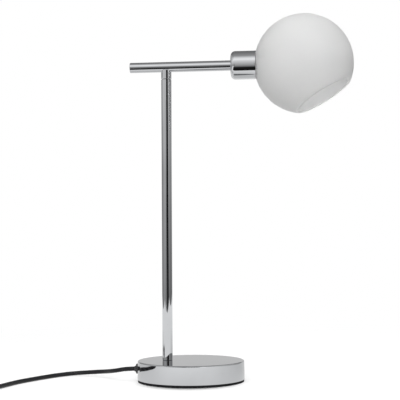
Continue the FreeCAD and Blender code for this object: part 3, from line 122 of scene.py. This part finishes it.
# What the chrome reflects: each card's name, corner and two sides, its brightness at places along an
# axis, and where along a second axis it fades to a share of that.
REFLECTIONS = (
    ("front wall", (-1.6, -1.42, 0.0), (3.3, 0, 0), (0, 0, 2.3),
     ("Z", (0.0, 0.33), (0.42, 0.6), (1.05, 0.96), (1.5, 1.3), (2.26, 1.0)), ("X", -0.9, -1.6, 0.85)),
    ("black flag", (0.02, -1.40, 0.0), (1.28, 0, 0), (0, 0, 0.85), ("Z", (0.0, 0.012), (0.85, 0.012)),
     NO_FADE),
    ("grey flag", (-0.36, -1.41, 0.02), (0.31, 0, 0), (0, 0, 0.55),
     ("Z", (0.0, 0.12), (0.3, 0.12), (0.5, 0.52)), NO_FADE),
    ("low flag", (-0.25, -0.95, 0.165), (0.37, 0, 0), (0, 0.773, 0),
     ("Y", (-0.95, 0.36), (-0.61, 0.19), (-0.46, 0.015), (-0.177, 0.01)), NO_FADE),
    ("ceiling", (-1.6, -1.43, 2.3), (3.3, 0, 0), (0, 3.3, 0),
     ("Y", (-1.43, 1.0), (-0.62, 0.42), (0.62, 0.25), (1.87, 0.21)), NO_FADE),
    ("back wall", (-1.6, 1.87, 0.0), (3.3, 0, 0), (0, 0, 2.3),
     ("Z", (0.0, 0.59), (0.5, 0.59), (0.75, 0.2), (2.3, 0.2)), NO_FADE),
    ("left wall", (-1.6, -1.42, 0.0), (0, 3.3, 0), (0, 0, 2.3),
     ("Z", (0.0, 0.40), (0.4, 0.52), (0.6, 0.75), (1.2, 1.0), (2.3, 0.8)), ("Y", -0.9, 0.6, 0.55)),
    ("right wall", (1.7, -1.42, 0.0), (0, 3.3, 0), (0, 0, 2.3),
     ("Z", (0.0, 0.22), (0.27, 0.35), (0.6, 0.55), (1.2, 0.9), (2.3, 0.8)), ("Y", -0.9, 0.6, 0.75)),
)


# ---- Sizes and colours ----------------------------------------------------------------------
def length(name, description, default):
    return FloatProperty(name=name, description=description, default=default, unit="LENGTH", min=0.0,
                         precision=5)


def amount(name, description, default):
    return FloatProperty(name=name, description=description, default=default, subtype="FACTOR", min=0.0,
                         max=1.0)


def colour(name, description, default):
    return FloatVectorProperty(name=name, description=description, default=default, subtype="COLOR",
                               size=3, min=0.0, max=1.0)


def power(name, description, default):
    return FloatProperty(name=name, description=description, default=default, unit="POWER", min=0.0)


class LampFlexSizes(bpy.types.PropertyGroup):
    diameter: length("Flex diameter", "Outside diameter of the round flex", 0.0055)
    coil_radius: length("Coil radius", "Outer turn of the put-away coil, to the flex's middle", 0.041)
    coil_pitch: length("Coil pitch", "Distance between neighbouring turns", 0.006)
    coil_turns: IntProperty(name="Coil turns", description="Turns in the put-away coil", default=7, min=1)
    turn_points: IntProperty(name="Points per turn", description="Control points in each turn", default=16,
                             min=12)


class LampColours(bpy.types.PropertyGroup):
    chrome: colour("Chrome", "Reflection colour of the chrome plate", (0.62, 0.63, 0.645))
    opal: colour("Opal glass", "Colour of the satin opal globe", (0.97, 0.97, 0.962))
    bulb: colour("Bulb", "Colour of the opal bulb", (0.84, 0.84, 0.81))
    black_plastic: colour("Black plastic", "Lampholder, switch and plug", (0.018, 0.018, 0.019))
    flex: colour("Flex", "Sheath of the flex", (0.010, 0.010, 0.011))
    pad: colour("Foot pad", "Foam rubber under the foot", (0.008, 0.008, 0.009))
    iron: colour("Cast iron", "Weight in the foot", (0.055, 0.054, 0.055))
    zinc: colour("Zinc plate", "Plated steel parts", (0.52, 0.54, 0.57))
    brass: colour("Brass", "Contacts", (0.72, 0.50, 0.20))
    nickel: colour("Nickel plate", "Bulb cap and plug pins", (0.60, 0.57, 0.52))


class LampStudio(bpy.types.PropertyGroup):
    sky: amount("Sky light", "Strength of the even light on matt surfaces", 0.41)
    top_power: power("Top light", "Power of the large light overhead", 16.5)
    front_power: power("Front light", "Power of the light beside the camera", 31.0)
    back_power: power("Back light", "Power of the light behind the lamp", 6.5)


# ---- Shader helpers -------------------------------------------------------------------------
def add_node(tree, kind, inputs=None, **settings):
    """Adds a node, sets its settings, and sets or links each named input."""
    node = tree.nodes.new(kind)
    for name, value in settings.items():
        setattr(node, name, value)
    for name, value in (inputs or {}).items():
        if isinstance(value, bpy.types.NodeSocket):
            tree.links.new(value, node.inputs[name])
        else:
            node.inputs[name].default_value = value
    return node


def calc(tree, operation, first, second=0.0, clamp=False):
    """One operation on two values, each a number or a socket."""
    return add_node(tree, "ShaderNodeMath", {0: first, 1: second}, operation=operation,
                    use_clamp=clamp).outputs[0]


def blend_values(tree, mask, low, high):
    """A value that goes from low to high with the mask."""
    mix = add_node(tree, "ShaderNodeMix", {0: mask, 2: low, 3: high}, data_type="FLOAT")
    return mix.outputs[0]


def blend_colours(tree, mask, first, second):
    """A colour that goes from the first to the second with the mask."""
    mix = add_node(tree, "ShaderNodeMix", {0: mask, 6: first, 7: second}, data_type="RGBA")
    return mix.outputs[2]


def fit_range(tree, value, low, high):
    """The value's stretch from low to high, as 0 to 1."""
    fitted = add_node(tree, "ShaderNodeMapRange", {"Value": value, "From Min": low, "From Max": high})
    return fitted.outputs["Result"]


def new_group(name, inputs, outputs):
    """A shader node group with float inputs and outputs, and its two end nodes."""
    group = bpy.data.node_groups.new(name, "ShaderNodeTree")
    for label, default in inputs.items():
        socket = group.interface.new_socket(label, in_out="INPUT", socket_type="NodeSocketFloat")
        socket.default_value = default
    for label in outputs:
        group.interface.new_socket(label, in_out="OUTPUT", socket_type="NodeSocketFloat")
    return group, group.nodes.new("NodeGroupInput"), group.nodes.new("NodeGroupOutput")


def object_place(tree):
    return add_node(tree, "ShaderNodeTexCoord").outputs["Object"]


def noise(tree, scale, detail=2.0, place=None, **inputs):
    """Cloudy noise on the piece's own coordinates."""
    settings = {"Vector": place or object_place(tree), "Scale": scale, "Detail": detail, **inputs}
    return add_node(tree, "ShaderNodeTexNoise", settings).outputs["Fac"]


# ---- Shared effects -------------------------------------------------------------------------
def moulded_grain_group():
    """Fine moulded or cast grain, with slow mottling, both by size in metres."""
    group, start, end = new_group("Moulded grain", {"Grain size": 0.0004, "Mottle size": 0.02},
                                  ("Height", "Mottle"))
    fine = calc(group, "DIVIDE", 1.0, start.outputs["Grain size"])
    slow = calc(group, "DIVIDE", 1.0, start.outputs["Mottle size"])
    group.links.new(noise(group, fine), end.inputs["Height"])
    mottle = fit_range(group, noise(group, slow, 3.0), 0.3, 0.7)
    group.links.new(mottle, end.inputs["Mottle"])


def handling_marks_group():
    """Soft smudges, and hairlines from wiping, as a roughness and a height."""
    inputs = {"Smudge size": 0.03, "Hairline size": 0.0006, "Clean": 0.04, "Smudged": 0.12}
    group, start, end = new_group("Handling marks", inputs, ("Roughness", "Hairlines"))
    place = object_place(group)
    smudge_scale = calc(group, "DIVIDE", 1.0, start.outputs["Smudge size"])
    smudge = fit_range(group, noise(group, smudge_scale, 4.0, place, Distortion=0.8), 0.48, 0.78)
    line_scale = calc(group, "DIVIDE", 1.0, start.outputs["Hairline size"])
    turned = add_node(group, "ShaderNodeMapping", {"Vector": place, "Rotation": (0.3, 0.5, 0.7),
                                                   "Scale": (0.03, 1.0, 0.08)})
    lines = fit_range(group, noise(group, line_scale, 1.0, turned.outputs["Vector"]), 0.35, 0.75)
    marks = calc(group, "ADD", calc(group, "MULTIPLY", smudge, 0.75), calc(group, "MULTIPLY", lines, 0.25))
    rough = blend_values(group, marks, start.outputs["Clean"], start.outputs["Smudged"])
    group.links.new(rough, end.inputs["Roughness"])
    group.links.new(lines, end.inputs["Hairlines"])


def settled_dust_group():
    """A thin, uneven mask of dust on faces that look up."""
    group, start, end = new_group("Settled dust", {"Speck size": 0.0009, "Cover": 0.25}, ("Mask",))
    normal = add_node(group, "ShaderNodeTexCoord").outputs["Normal"]
    upward = add_node(group, "ShaderNodeSeparateXYZ", {0: normal}).outputs["Z"]
    scale = calc(group, "DIVIDE", 1.0, start.outputs["Speck size"])
    specks = fit_range(group, noise(group, scale, 3.0), 0.45, 0.75)
    clouds = fit_range(group, noise(group, 22.0, 3.0), 0.35, 0.75)
    cover = calc(group, "MULTIPLY", calc(group, "MULTIPLY", specks, clouds), start.outputs["Cover"])
    facing = fit_range(group, upward, 0.25, 0.95)
    group.links.new(calc(group, "MULTIPLY", cover, facing, clamp=True), end.inputs["Mask"])


# ---- Finishes -------------------------------------------------------------------------------
def new_material(name):
    material = bpy.data.materials.new(name)
    material.use_nodes = True
    return material, material.node_tree, material.node_tree.nodes["Principled BSDF"]


def bare_material(name):
    """A material with nothing in it but its output, and its node tree."""
    material, tree, shader = new_material(name)
    tree.nodes.remove(shader)
    return material, tree


def use_group(tree, name, **values):
    """Places a shared effect, its inputs given with _ for each space."""
    node = add_node(tree, "ShaderNodeGroup", node_tree=bpy.data.node_groups[name])
    for label, value in values.items():
        node.inputs[label.replace("_", " ")].default_value = value
    return node


def set_sockets(shader, **values):
    for label, value in values.items():
        shader.inputs[label.replace("_", " ")].default_value = value


def rgba(value, factor=1.0):
    return (*(part * factor for part in value), 1.0)


def add_bump(tree, shader, height, distance):
    bump = add_node(tree, "ShaderNodeBump", {"Height": height, "Distance": distance, "Strength": 1.0})
    tree.links.new(bump.outputs["Normal"], shader.inputs["Normal"])


def plated_metal(name, tint, clean, smudged, hairline_depth, tarnish=0.94):
    """Bright plate: smudges, hairlines and a slight tone change."""
    material, tree, shader = new_material(name)
    set_sockets(shader, Metallic=1.0)
    marks = use_group(tree, "Handling marks", Clean=clean, Smudged=smudged)
    grain = use_group(tree, "Moulded grain", Grain_size=0.0007, Mottle_size=0.035)
    shade = blend_colours(tree, grain.outputs["Mottle"], rgba(tint), rgba(tint, tarnish))
    tree.links.new(shade, shader.inputs["Base Color"])
    tree.links.new(marks.outputs["Roughness"], shader.inputs["Roughness"])
    add_bump(tree, shader, marks.outputs["Hairlines"], hairline_depth)
    return material


def moulded_plastic(name, tint, rough, grain_size, grain_depth, dust=0.12, shine=0.5):
    """Moulded plastic or rubber: fine grain, slow change of gloss, and dust on top."""
    material, tree, shader = new_material(name)
    set_sockets(shader, Specular_IOR_Level=shine)
    grain = use_group(tree, "Moulded grain", Grain_size=grain_size, Mottle_size=0.012)
    specks = use_group(tree, "Settled dust", Cover=dust)
    shade = blend_colours(tree, grain.outputs["Mottle"], rgba(tint), rgba(tint, 1.35))
    dusty = blend_colours(tree, specks.outputs["Mask"], shade, (0.35, 0.34, 0.32, 1.0))
    tree.links.new(dusty, shader.inputs["Base Color"])
    gloss = blend_values(tree, grain.outputs["Mottle"], rough, rough + 0.08)
    tree.links.new(gloss, shader.inputs["Roughness"])
    add_bump(tree, shader, grain.outputs["Height"], grain_depth)
    return material


def opal_glass(name, tint, rough, depth):
    """Cased opal glass: milky body, satin skin with a faint flow in it."""
    material, tree, shader = new_material(name)
    grain = use_group(tree, "Moulded grain", Grain_size=0.0009, Mottle_size=0.05)
    shade = blend_colours(tree, grain.outputs["Mottle"], rgba(tint), rgba(tint, 0.985))
    tree.links.new(shade, shader.inputs["Base Color"])
    marks = use_group(tree, "Handling marks", Smudge_size=0.05, Clean=rough, Smudged=rough + 0.1)
    tree.links.new(marks.outputs["Roughness"], shader.inputs["Roughness"])
    add_bump(tree, shader, grain.outputs["Height"], depth)
    set_sockets(shader, IOR=1.5, Subsurface_Weight=1.0, Subsurface_Radius=(1.0, 1.0, 1.0),
                Subsurface_Scale=0.04)
    return material


def cast_iron(name, tint):
    """Sand-cast iron, lightly oiled, with rust starting in slow patches."""
    material, tree, shader = new_material(name)
    set_sockets(shader, Metallic=0.6)
    grain = use_group(tree, "Moulded grain", Grain_size=0.0016, Mottle_size=0.02)
    shade = blend_colours(tree, grain.outputs["Mottle"], rgba(tint), (0.085, 0.048, 0.028, 1.0))
    tree.links.new(shade, shader.inputs["Base Color"])
    rough = blend_values(tree, grain.outputs["Height"], 0.48, 0.82)
    tree.links.new(rough, shader.inputs["Roughness"])
    add_bump(tree, shader, grain.outputs["Height"], 0.0004)
    return material


def foam_pad(name, tint):
    """Closed-cell foam rubber: open pores on its cut faces, each pit darker in colour as painted shade."""
    material, tree, shader = new_material(name)
    set_sockets(shader, Specular_IOR_Level=0.1)
    cells = add_node(tree, "ShaderNodeTexVoronoi", {"Vector": object_place(tree), "Scale": 1400.0})
    pores = fit_range(tree, cells.outputs["Distance"], 0.15, 0.55)
    grain = use_group(tree, "Moulded grain", Mottle_size=0.015)
    # Painted shade: the colour goes darker towards each pore's pit, where the bump sinks.
    shade = blend_colours(tree, pores, rgba(tint, 0.7), rgba(tint, 1.3))
    tree.links.new(shade, shader.inputs["Base Color"])
    rough = blend_values(tree, grain.outputs["Mottle"], 0.78, 0.92)
    tree.links.new(rough, shader.inputs["Roughness"])
    add_bump(tree, shader, pores, 0.00015)
    return material


def dress(slot_name, material):
    """Gives a finish to each CAD node that the record puts in this slot."""
    for part in frame["record"]["subparts"]:
        if part["material_slot"] == slot_name:
            mesh = NODES[part["node"]].data
            mesh.materials.clear()
            mesh.materials.append(material)


# ---- Mesh helpers ---------------------------------------------------------------------------
def add_object(name, mesh_source, material):
    """Turns a bmesh into an object in the scene."""
    mesh = bpy.data.meshes.new(name)
    mesh_source.to_mesh(mesh)
    mesh_source.free()
    mesh.materials.append(material)
    made = bpy.data.objects.new(name, mesh)
    bpy.context.scene.collection.objects.link(made)
    return made


def add_piece(name, mesh_source, material, body, smooth=True):
    """Turns a bmesh into a piece that rides on a body."""
    piece = add_object(name, mesh_source, material)
    for face in piece.data.polygons:
        face.use_smooth = smooth
    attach(piece, body)
    return piece


# ---- Flex -----------------------------------------------------------------------------------
def coil_points(sizes):
    """Points of the put-away coil: spirals in on the lower layer, climbs, and out on the upper one."""
    step = 2 * pi / sizes.turn_points
    total = sizes.coil_turns * sizes.turn_points
    points = []
    for index in range(total):
        turn = (index + 0.5) / sizes.turn_points
        angle = pi - 2 * pi * turn
        inward = min(turn, sizes.coil_turns - turn)
        radius = (sizes.coil_radius - sizes.coil_pitch * inward) / cos(step / 2)
        climb = min(max(2 * turn - sizes.coil_turns + 0.5, 0.0), 1.0)
        height = COIL_LOW + (COIL_HIGH - COIL_LOW) * (1 - cos(pi * climb)) / 2
        points.append((COIL_CENTRE[0] + radius * cos(angle), COIL_CENTRE[1] + radius * sin(angle), height))
    return points


class LampAddFlex(bpy.types.Operator):
    """Adds the flex as one smooth line from the foot through the switch and the coil to the plug"""
    bl_idname = "lamp.add_flex"
    bl_label = "Flex"

    def execute(self, context):
        sizes = context.scene.lamp_flex
        places = [*LAMP_RUN, *SWITCH_RUN, *coil_points(sizes), *PLUG_RUN]
        curve = bpy.data.curves.new("flex", "CURVE")
        curve.dimensions = "3D"
        line = curve.splines.new("NURBS")
        line.points.add(len(places) - 1)
        for point, place in zip(line.points, places):
            point.co = (*place, 1.0)
        line.order_u = 3
        line.use_endpoint_u = True
        line.resolution_u = 6
        curve.bevel_depth = sizes.diameter / 2
        curve.bevel_resolution = 5
        curve.use_fill_caps = True
        curve.materials.append(bpy.data.materials["black flex sheath"])
        flex = bpy.data.objects.new("flex", curve)
        context.scene.collection.objects.link(flex)
        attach(flex, "lamp")
        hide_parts("cord_lamp_run", "cord_switch_run", "cord_coil", "cord_plug_run", "plug_lead")
        on_flex = [NODES[name] for name in FLEX_PIECES]
        on_flex += [bpy.data.objects[name] for name in ("coil_tie", "rocker_grip_ribs")]
        return {"FINISHED"}


class LampAddTie(bpy.types.Operator):
    """Adds the wire-cored strap that holds the coil together, with its free end pressed down on top"""
    bl_idname = "lamp.add_tie"
    bl_label = "Coil tie"

    def execute(self, context):
        low, high = (Vector(corner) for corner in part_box("cord_tie"))
        band_top = high.z - TIE_THICKNESS
        mesh = bmesh.new()
        corners = [(low.x, low.z), (high.x, low.z), (high.x, band_top), (low.x, band_top)]
        ring = [mesh.verts.new((x, low.y, z)) for x, z in corners]
        mesh.faces.new(ring)
        bmesh.ops.bevel(mesh, geom=ring, offset=TIE_CORNER, affect="VERTICES", segments=6, profile=0.5,
                        material=-1)
        bmesh.ops.delete(mesh, geom=mesh.faces[:], context="FACES_ONLY")
        middle = (low.x + high.x) / 2
        ends = [mesh.verts.new((middle + side * TIE_FLAP / 2, low.y, high.z)) for side in (-1, 0, 1)]
        for first, second in zip(ends, ends[1:]):
            mesh.edges.new((first, second))
        edges = mesh.edges[:]
        rows = [mesh.verts[:]]
        width = high.y - low.y
        for step in TIE_STRIPS:
            grown = bmesh.ops.extrude_edge_only(mesh, edges=edges)["geom"]
            moved = [item for item in grown if isinstance(item, bmesh.types.BMVert)]
            bmesh.ops.translate(mesh, verts=moved, vec=(0, step * width, 0))
            edges = [item for item in grown if isinstance(item, bmesh.types.BMEdge)]
            rows.append(moved)
        centre = Matrix.Translation((-middle, 0, -(low.z + high.z) / 2))
        for row, drop in zip(rows, TIE_DROPS):
            shrink = (1 - 2 * drop / (high.x - low.x), 1, 1 - 2 * drop / (high.z - low.z))
            bmesh.ops.scale(mesh, vec=shrink, space=centre, verts=row)
        bmesh.ops.recalc_face_normals(mesh, faces=mesh.faces[:])
        bmesh.ops.solidify(mesh, geom=mesh.faces[:], thickness=TIE_THICKNESS * TIE_SKIN)
        tie = add_piece("coil_tie", mesh, bpy.data.materials["black flex sheath"], "lamp")
        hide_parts("cord_tie")
        return {"FINISHED"}


class LampAddGripRibs(bpy.types.Operator):
    """Adds three fine ribs at each end of the switch's rocker"""
    bl_idname = "lamp.add_grip_ribs"
    bl_label = "Rocker grip ribs"

    def execute(self, context):
        mesh = bmesh.new()
        tilt = Matrix.Translation(ROCKER_PIVOT) @ Matrix.Rotation(ROCKER_TILT, 4, "Y")
        slope = atan2(ROCKER_TIP_RISE - ROCKER_DIP, ROCKER_TIP)
        size = Matrix.Diagonal((RIB_WIDTH, RIB_LENGTH, RIB_HEIGHT, 1.0))
        for side in (-1, 1):
            for reach in RIB_REACHES:
                rise = ROCKER_DIP + reach * tan(slope)
                place = Matrix.Translation((side * reach, 0, rise)) @ Matrix.Rotation(-side * slope, 4, "Y")
                bmesh.ops.create_cube(mesh, size=1.0, matrix=tilt @ place @ size)
        bmesh.ops.bevel(mesh, geom=mesh.edges[:], offset=RIB_EDGE, offset_type="OFFSET", affect="EDGES",
                        segments=2, profile=0.5, material=-1)
        bmesh.ops.recalc_face_normals(mesh, faces=mesh.faces[:])
        add_piece("rocker_grip_ribs", mesh, bpy.data.materials["grained black switch"], "rocker",
                  smooth=False)
        return {"FINISHED"}


# ---- Finishing operators --------------------------------------------------------------------
class LampFinishMetal(bpy.types.Operator):
    """Gives the chrome, steel, iron, brass and nickel parts their finishes"""
    bl_idname = "lamp.finish_metal"
    bl_label = "Metal finishes"

    def execute(self, context):
        colours = context.scene.lamp_colours
        dress("chrome", plated_metal("polished chrome plate", colours.chrome, 0.015, 0.05, 0.0000001))
        dress("nickel", plated_metal("nickel plate", colours.nickel, 0.16, 0.28, 0.000006, 0.88))
        dress("brass", plated_metal("pressed brass", colours.brass, 0.22, 0.38, 0.000008, 0.8))
        dress("zinc_steel", plated_metal("zinc plated steel", colours.zinc, 0.28, 0.46, 0.00001, 0.78))
        dress("cast_iron", cast_iron("oiled cast iron", colours.iron))
        return {"FINISHED"}


class LampFinishGlass(bpy.types.Operator):
    """Gives the globe and the bulb their opal glass"""
    bl_idname = "lamp.finish_glass"
    bl_label = "Glass finishes"

    def execute(self, context):
        colours = context.scene.lamp_colours
        dress("opal_glass", opal_glass("satin opal glass", colours.opal, 0.42, 0.000008))
        dress("bulb_opal", opal_glass("opal bulb", colours.bulb, 0.22, 0.000002))
        return {"FINISHED"}


class LampFinishPlastic(bpy.types.Operator):
    """Gives the lampholder, switch, plug, sheath, pad and seal their plastics and rubbers"""
    bl_idname = "lamp.finish_plastic"
    bl_label = "Plastic and rubber finishes"

    def execute(self, context):
        colours = context.scene.lamp_colours
        black = colours.black_plastic
        # Slot, name, colour, roughness, size and depth of the grain in metres, and, where they aren't the
        # usual ones, cover of dust and shine.
        finishes = (
            ("holder_black", "moulded black holder", black, 0.34, 0.0005, 0.00001, 0.05),
            ("switch_black", "grained black switch", black, 0.36, 0.00035, 0.00003),
            ("plug_black", "grained black plug", black, 0.44, 0.0004, 0.00003),
            ("cord_black", "black flex sheath", colours.flex, 0.4, 0.0008, 0.00002, 0.04, 0.2),
            ("insulator_dark", "dark glass insulator", (0.02, 0.012, 0.03), 0.1, 0.001, 0.000005),
            ("collar_white", "white bulb collar", (0.78, 0.78, 0.76), 0.3, 0.0006, 0.000006, 0.05),
            ("block_white", "white terminal block", (0.66, 0.63, 0.58), 0.5, 0.0005, 0.00002),
            ("gasket_clear", "silicone gasket", (0.55, 0.55, 0.53), 0.35, 0.001, 0.00001),
            ("core_brown", "brown core", (0.11, 0.035, 0.012), 0.3, 0.0008, 0.00001),
            ("core_blue", "blue core", (0.012, 0.08, 0.34), 0.3, 0.0008, 0.00001),
        )
        for slot_name, *finish in finishes:
            dress(slot_name, moulded_plastic(*finish))
        dress("pad_black", foam_pad("black foam pad", colours.pad))
        return {"FINISHED"}


# ---- Stage ----------------------------------------------------------------------------------
def seen_ray(tree):
    """1 for rays from the camera, from a mirror or through glass, else 0."""
    path = add_node(tree, "ShaderNodeLightPath").outputs
    either = calc(tree, "MAXIMUM", path["Is Camera Ray"], path["Is Glossy Ray"])
    return calc(tree, "MAXIMUM", either, path["Is Transmission Ray"])


def white_world(sky):
    """Plain white where it is seen, and a lower even light on the object."""
    world = bpy.data.worlds.new("white studio")
    world.use_nodes = True
    tree = world.node_tree
    strength = blend_values(tree, seen_ray(tree), sky, 1.0)
    background = tree.nodes["Background"]
    background.inputs["Color"].default_value = (1.0, 1.0, 1.0, 1.0)
    tree.links.new(strength, background.inputs["Strength"])
    return world


def paper_floor():
    """White paper: a soft shadow painted into its colour in front of the foot, plain white far out, and
    clear from below.
    """
    material, tree = bare_material("white paper floor")
    place = object_place(tree)
    reach = add_node(tree, "ShaderNodeVectorMath", {0: place}, operation="LENGTH").outputs["Value"]
    # Painted shadow: the paper's colour darkens from 0.97 to 0.22 towards a point in front of the foot, and
    # the white glow for camera rays is held back there too. The lamps' real shadows fall on top of it.
    shift = (0.0, PAINTED_SHADOW_SHIFT, 0.0)
    forward = add_node(tree, "ShaderNodeVectorMath", {0: place, 1: shift}).outputs["Vector"]
    painted_shadow_reach = add_node(tree, "ShaderNodeVectorMath", {0: forward}, operation="LENGTH").outputs["Value"]
    painted_shadow_fade = fit_range(tree, painted_shadow_reach, *PAINTED_SHADOW_RANGE)
    along_y = add_node(tree, "ShaderNodeSeparateXYZ", {0: place}).outputs["Y"]
    back = fit_range(tree, along_y, *MIRROR_RANGE)
    mirrored = add_node(tree, "ShaderNodeLightPath").outputs["Is Glossy Ray"]
    shade = blend_colours(tree, painted_shadow_fade, (0.22, 0.22, 0.22, 1.0), (0.97, 0.97, 0.97, 1.0))
    paper = add_node(tree, "ShaderNodeBsdfDiffuse", {"Color": shade})
    dimmed = blend_values(tree, calc(tree, "MULTIPLY", mirrored, back), 1.0, 0.72)
    glow = add_node(tree, "ShaderNodeEmission", {"Strength": dimmed})
    lift = calc(tree, "MAXIMUM", mirrored, calc(tree, "MULTIPLY", painted_shadow_fade, 0.5))
    near = add_node(tree, "ShaderNodeMixShader", {0: lift, 1: paper.outputs[0], 2: glow.outputs[0]})
    plain = add_node(tree, "ShaderNodeEmission", {"Strength": 1.0})
    far = fit_range(tree, reach, *PLAIN_RANGE)
    seen = add_node(tree, "ShaderNodeMixShader", {0: far, 1: near.outputs[0], 2: plain.outputs[0]})
    bounce = add_node(tree, "ShaderNodeBsdfDiffuse", {"Color": (0.7, 0.7, 0.7, 1.0)})
    floor = add_node(tree, "ShaderNodeMixShader", {0: seen_ray(tree), 1: bounce.outputs[0],
                                                   2: seen.outputs[0]})
    clear = add_node(tree, "ShaderNodeBsdfTransparent")
    from_below = add_node(tree, "ShaderNodeNewGeometry").outputs["Backfacing"]
    sheet = add_node(tree, "ShaderNodeMixShader", {0: from_below, 1: floor.outputs[0], 2: clear.outputs[0]})
    tree.links.new(sheet.outputs[0], tree.nodes["Material Output"].inputs["Surface"])
    return material


def add_card(name, corner, along, up, stops, fade):
    """A card that only mirrors see: its brightness at places along an axis, and a fade along another."""
    sheet = bmesh.new()
    corner, along, up = Vector(corner), Vector(along), Vector(up)
    shape = Matrix((along / 2, up / 2, along.cross(up).normalized())).transposed().to_4x4()
    shape.translation = corner + along / 2 + up / 2
    bmesh.ops.create_grid(sheet, x_segments=1, y_segments=1, size=1.0, matrix=shape)
    material, tree = bare_material(name)
    place = add_node(tree, "ShaderNodeSeparateXYZ", {0: object_place(tree)}).outputs
    axis, *steps = stops
    strength = steps[0][1]
    for (low, _), (high, level) in zip(steps, steps[1:]):
        strength = blend_values(tree, fit_range(tree, place[axis], low, high), strength, level)
    fade_axis, start, end, share = fade
    dimmed = blend_values(tree, fit_range(tree, place[fade_axis], start, end), 1.0, share)
    glow = add_node(tree, "ShaderNodeEmission", {"Strength": calc(tree, "MULTIPLY", strength, dimmed)})
    tree.links.new(glow.outputs[0], tree.nodes["Material Output"].inputs["Surface"])
    card = add_object(name, sheet, material)
    card.visible_camera = card.visible_diffuse = card.visible_transmission = False
    card.visible_shadow = card.visible_volume_scatter = False


def add_light(name, place, size, energy):
    """A large, soft light aimed at the lamp's middle, which mirrors don't see."""
    light = bpy.data.lights.new(name, "AREA")
    light.shape = "RECTANGLE"
    light.size, light.size_y = size
    light.energy = energy
    lamp = bpy.data.objects.new(name, light)
    lamp.location = place
    lamp.rotation_euler = (Vector(LIGHT_AIM) - Vector(place)).to_track_quat("-Z", "Y").to_euler()
    lamp.visible_glossy = lamp.visible_camera = False
    bpy.context.scene.collection.objects.link(lamp)


class LampSetStage(bpy.types.Operator):
    """Sets the camera, the white paper floor, the studio light and what the chrome reflects"""
    bl_idname = "lamp.set_stage"
    bl_label = "Stage"

    def execute(self, context):
        scene = context.scene
        studio = scene.lamp_studio
        right = CAMERA_AIM.cross(Vector((0, 0, 1))).normalized()
        up = right.cross(CAMERA_AIM)
        turn = Matrix((right, up, -CAMERA_AIM)).transposed() @ Matrix.Rotation(CAMERA_ROLL, 3, "Z")
        lens = bpy.data.cameras.new("camera")
        lens.lens, lens.sensor_width, lens.sensor_fit = CAMERA_LENS, SENSOR_WIDTH, "HORIZONTAL"
        camera = bpy.data.objects.new("camera", lens)
        camera.matrix_world = Matrix.Translation(CAMERA_PLACE) @ turn.to_4x4()
        scene.collection.objects.link(camera)
        scene.camera = camera
        scene.world = white_world(studio.sky)
        scene.view_settings.view_transform = "Standard"
        paper = bmesh.new()
        bmesh.ops.create_grid(paper, x_segments=1, y_segments=1, size=FLOOR_REACH,
                              matrix=Matrix.Translation((0, 0, FLOOR_HEIGHT)))
        floor = add_object("paper_floor", paper, paper_floor())
        add_light("top light", (0.0, -0.1, 1.7), (1.6, 1.6), studio.top_power)
        add_light("front light", (0.05, -1.75, 0.7), (1.2, 1.0), studio.front_power)
        add_light("back light", (0.3, 1.6, 1.0), (1.4, 1.0), studio.back_power)
        for card in REFLECTIONS:
            add_card(*card)
        return {"FINISHED"}


# ---- Add-on ---------------------------------------------------------------------------------
class LampPanel(bpy.types.Panel):
    """Lists the lamp's pieces, finishes and sizes"""
    bl_idname = "VIEW3D_PT_glass_globe_lamp"
    bl_label = "Glass globe table lamp"
    bl_space_type = "VIEW_3D"
    bl_region_type = "UI"
    bl_category = "Lamp"

    def draw(self, context):
        for group in (context.scene.lamp_flex, context.scene.lamp_colours, context.scene.lamp_studio):
            box = self.layout.box()
            for name in group.__annotations__:
                box.prop(group, name)
        for operator in OPERATORS:
            self.layout.operator(operator.bl_idname)


OPERATORS = (LampFinishMetal, LampFinishGlass, LampFinishPlastic, LampAddTie, LampAddGripRibs,
             LampAddFlex, LampSetStage)
GROUPS = {"lamp_flex": LampFlexSizes, "lamp_colours": LampColours, "lamp_studio": LampStudio}


def register():
    for kind in (*GROUPS.values(), *OPERATORS, LampPanel):
        bpy.utils.register_class(kind)
    for name, kind in GROUPS.items():
        setattr(bpy.types.Scene, name, PointerProperty(type=kind))


def unregister():
    for name in GROUPS:
        delattr(bpy.types.Scene, name)
    for kind in (LampPanel, *reversed(OPERATORS), *GROUPS.values()):
        bpy.utils.unregister_class(kind)


def main():
    register()
    moulded_grain_group()
    handling_marks_group()
    settled_dust_group()
    bpy.ops.lamp.finish_metal()
    bpy.ops.lamp.finish_glass()
    bpy.ops.lamp.finish_plastic()
    bpy.ops.lamp.add_tie()
    bpy.ops.lamp.add_grip_ribs()
    bpy.ops.lamp.add_flex()
    bpy.ops.lamp.set_stage()


if __name__ == "__main__":
    main()
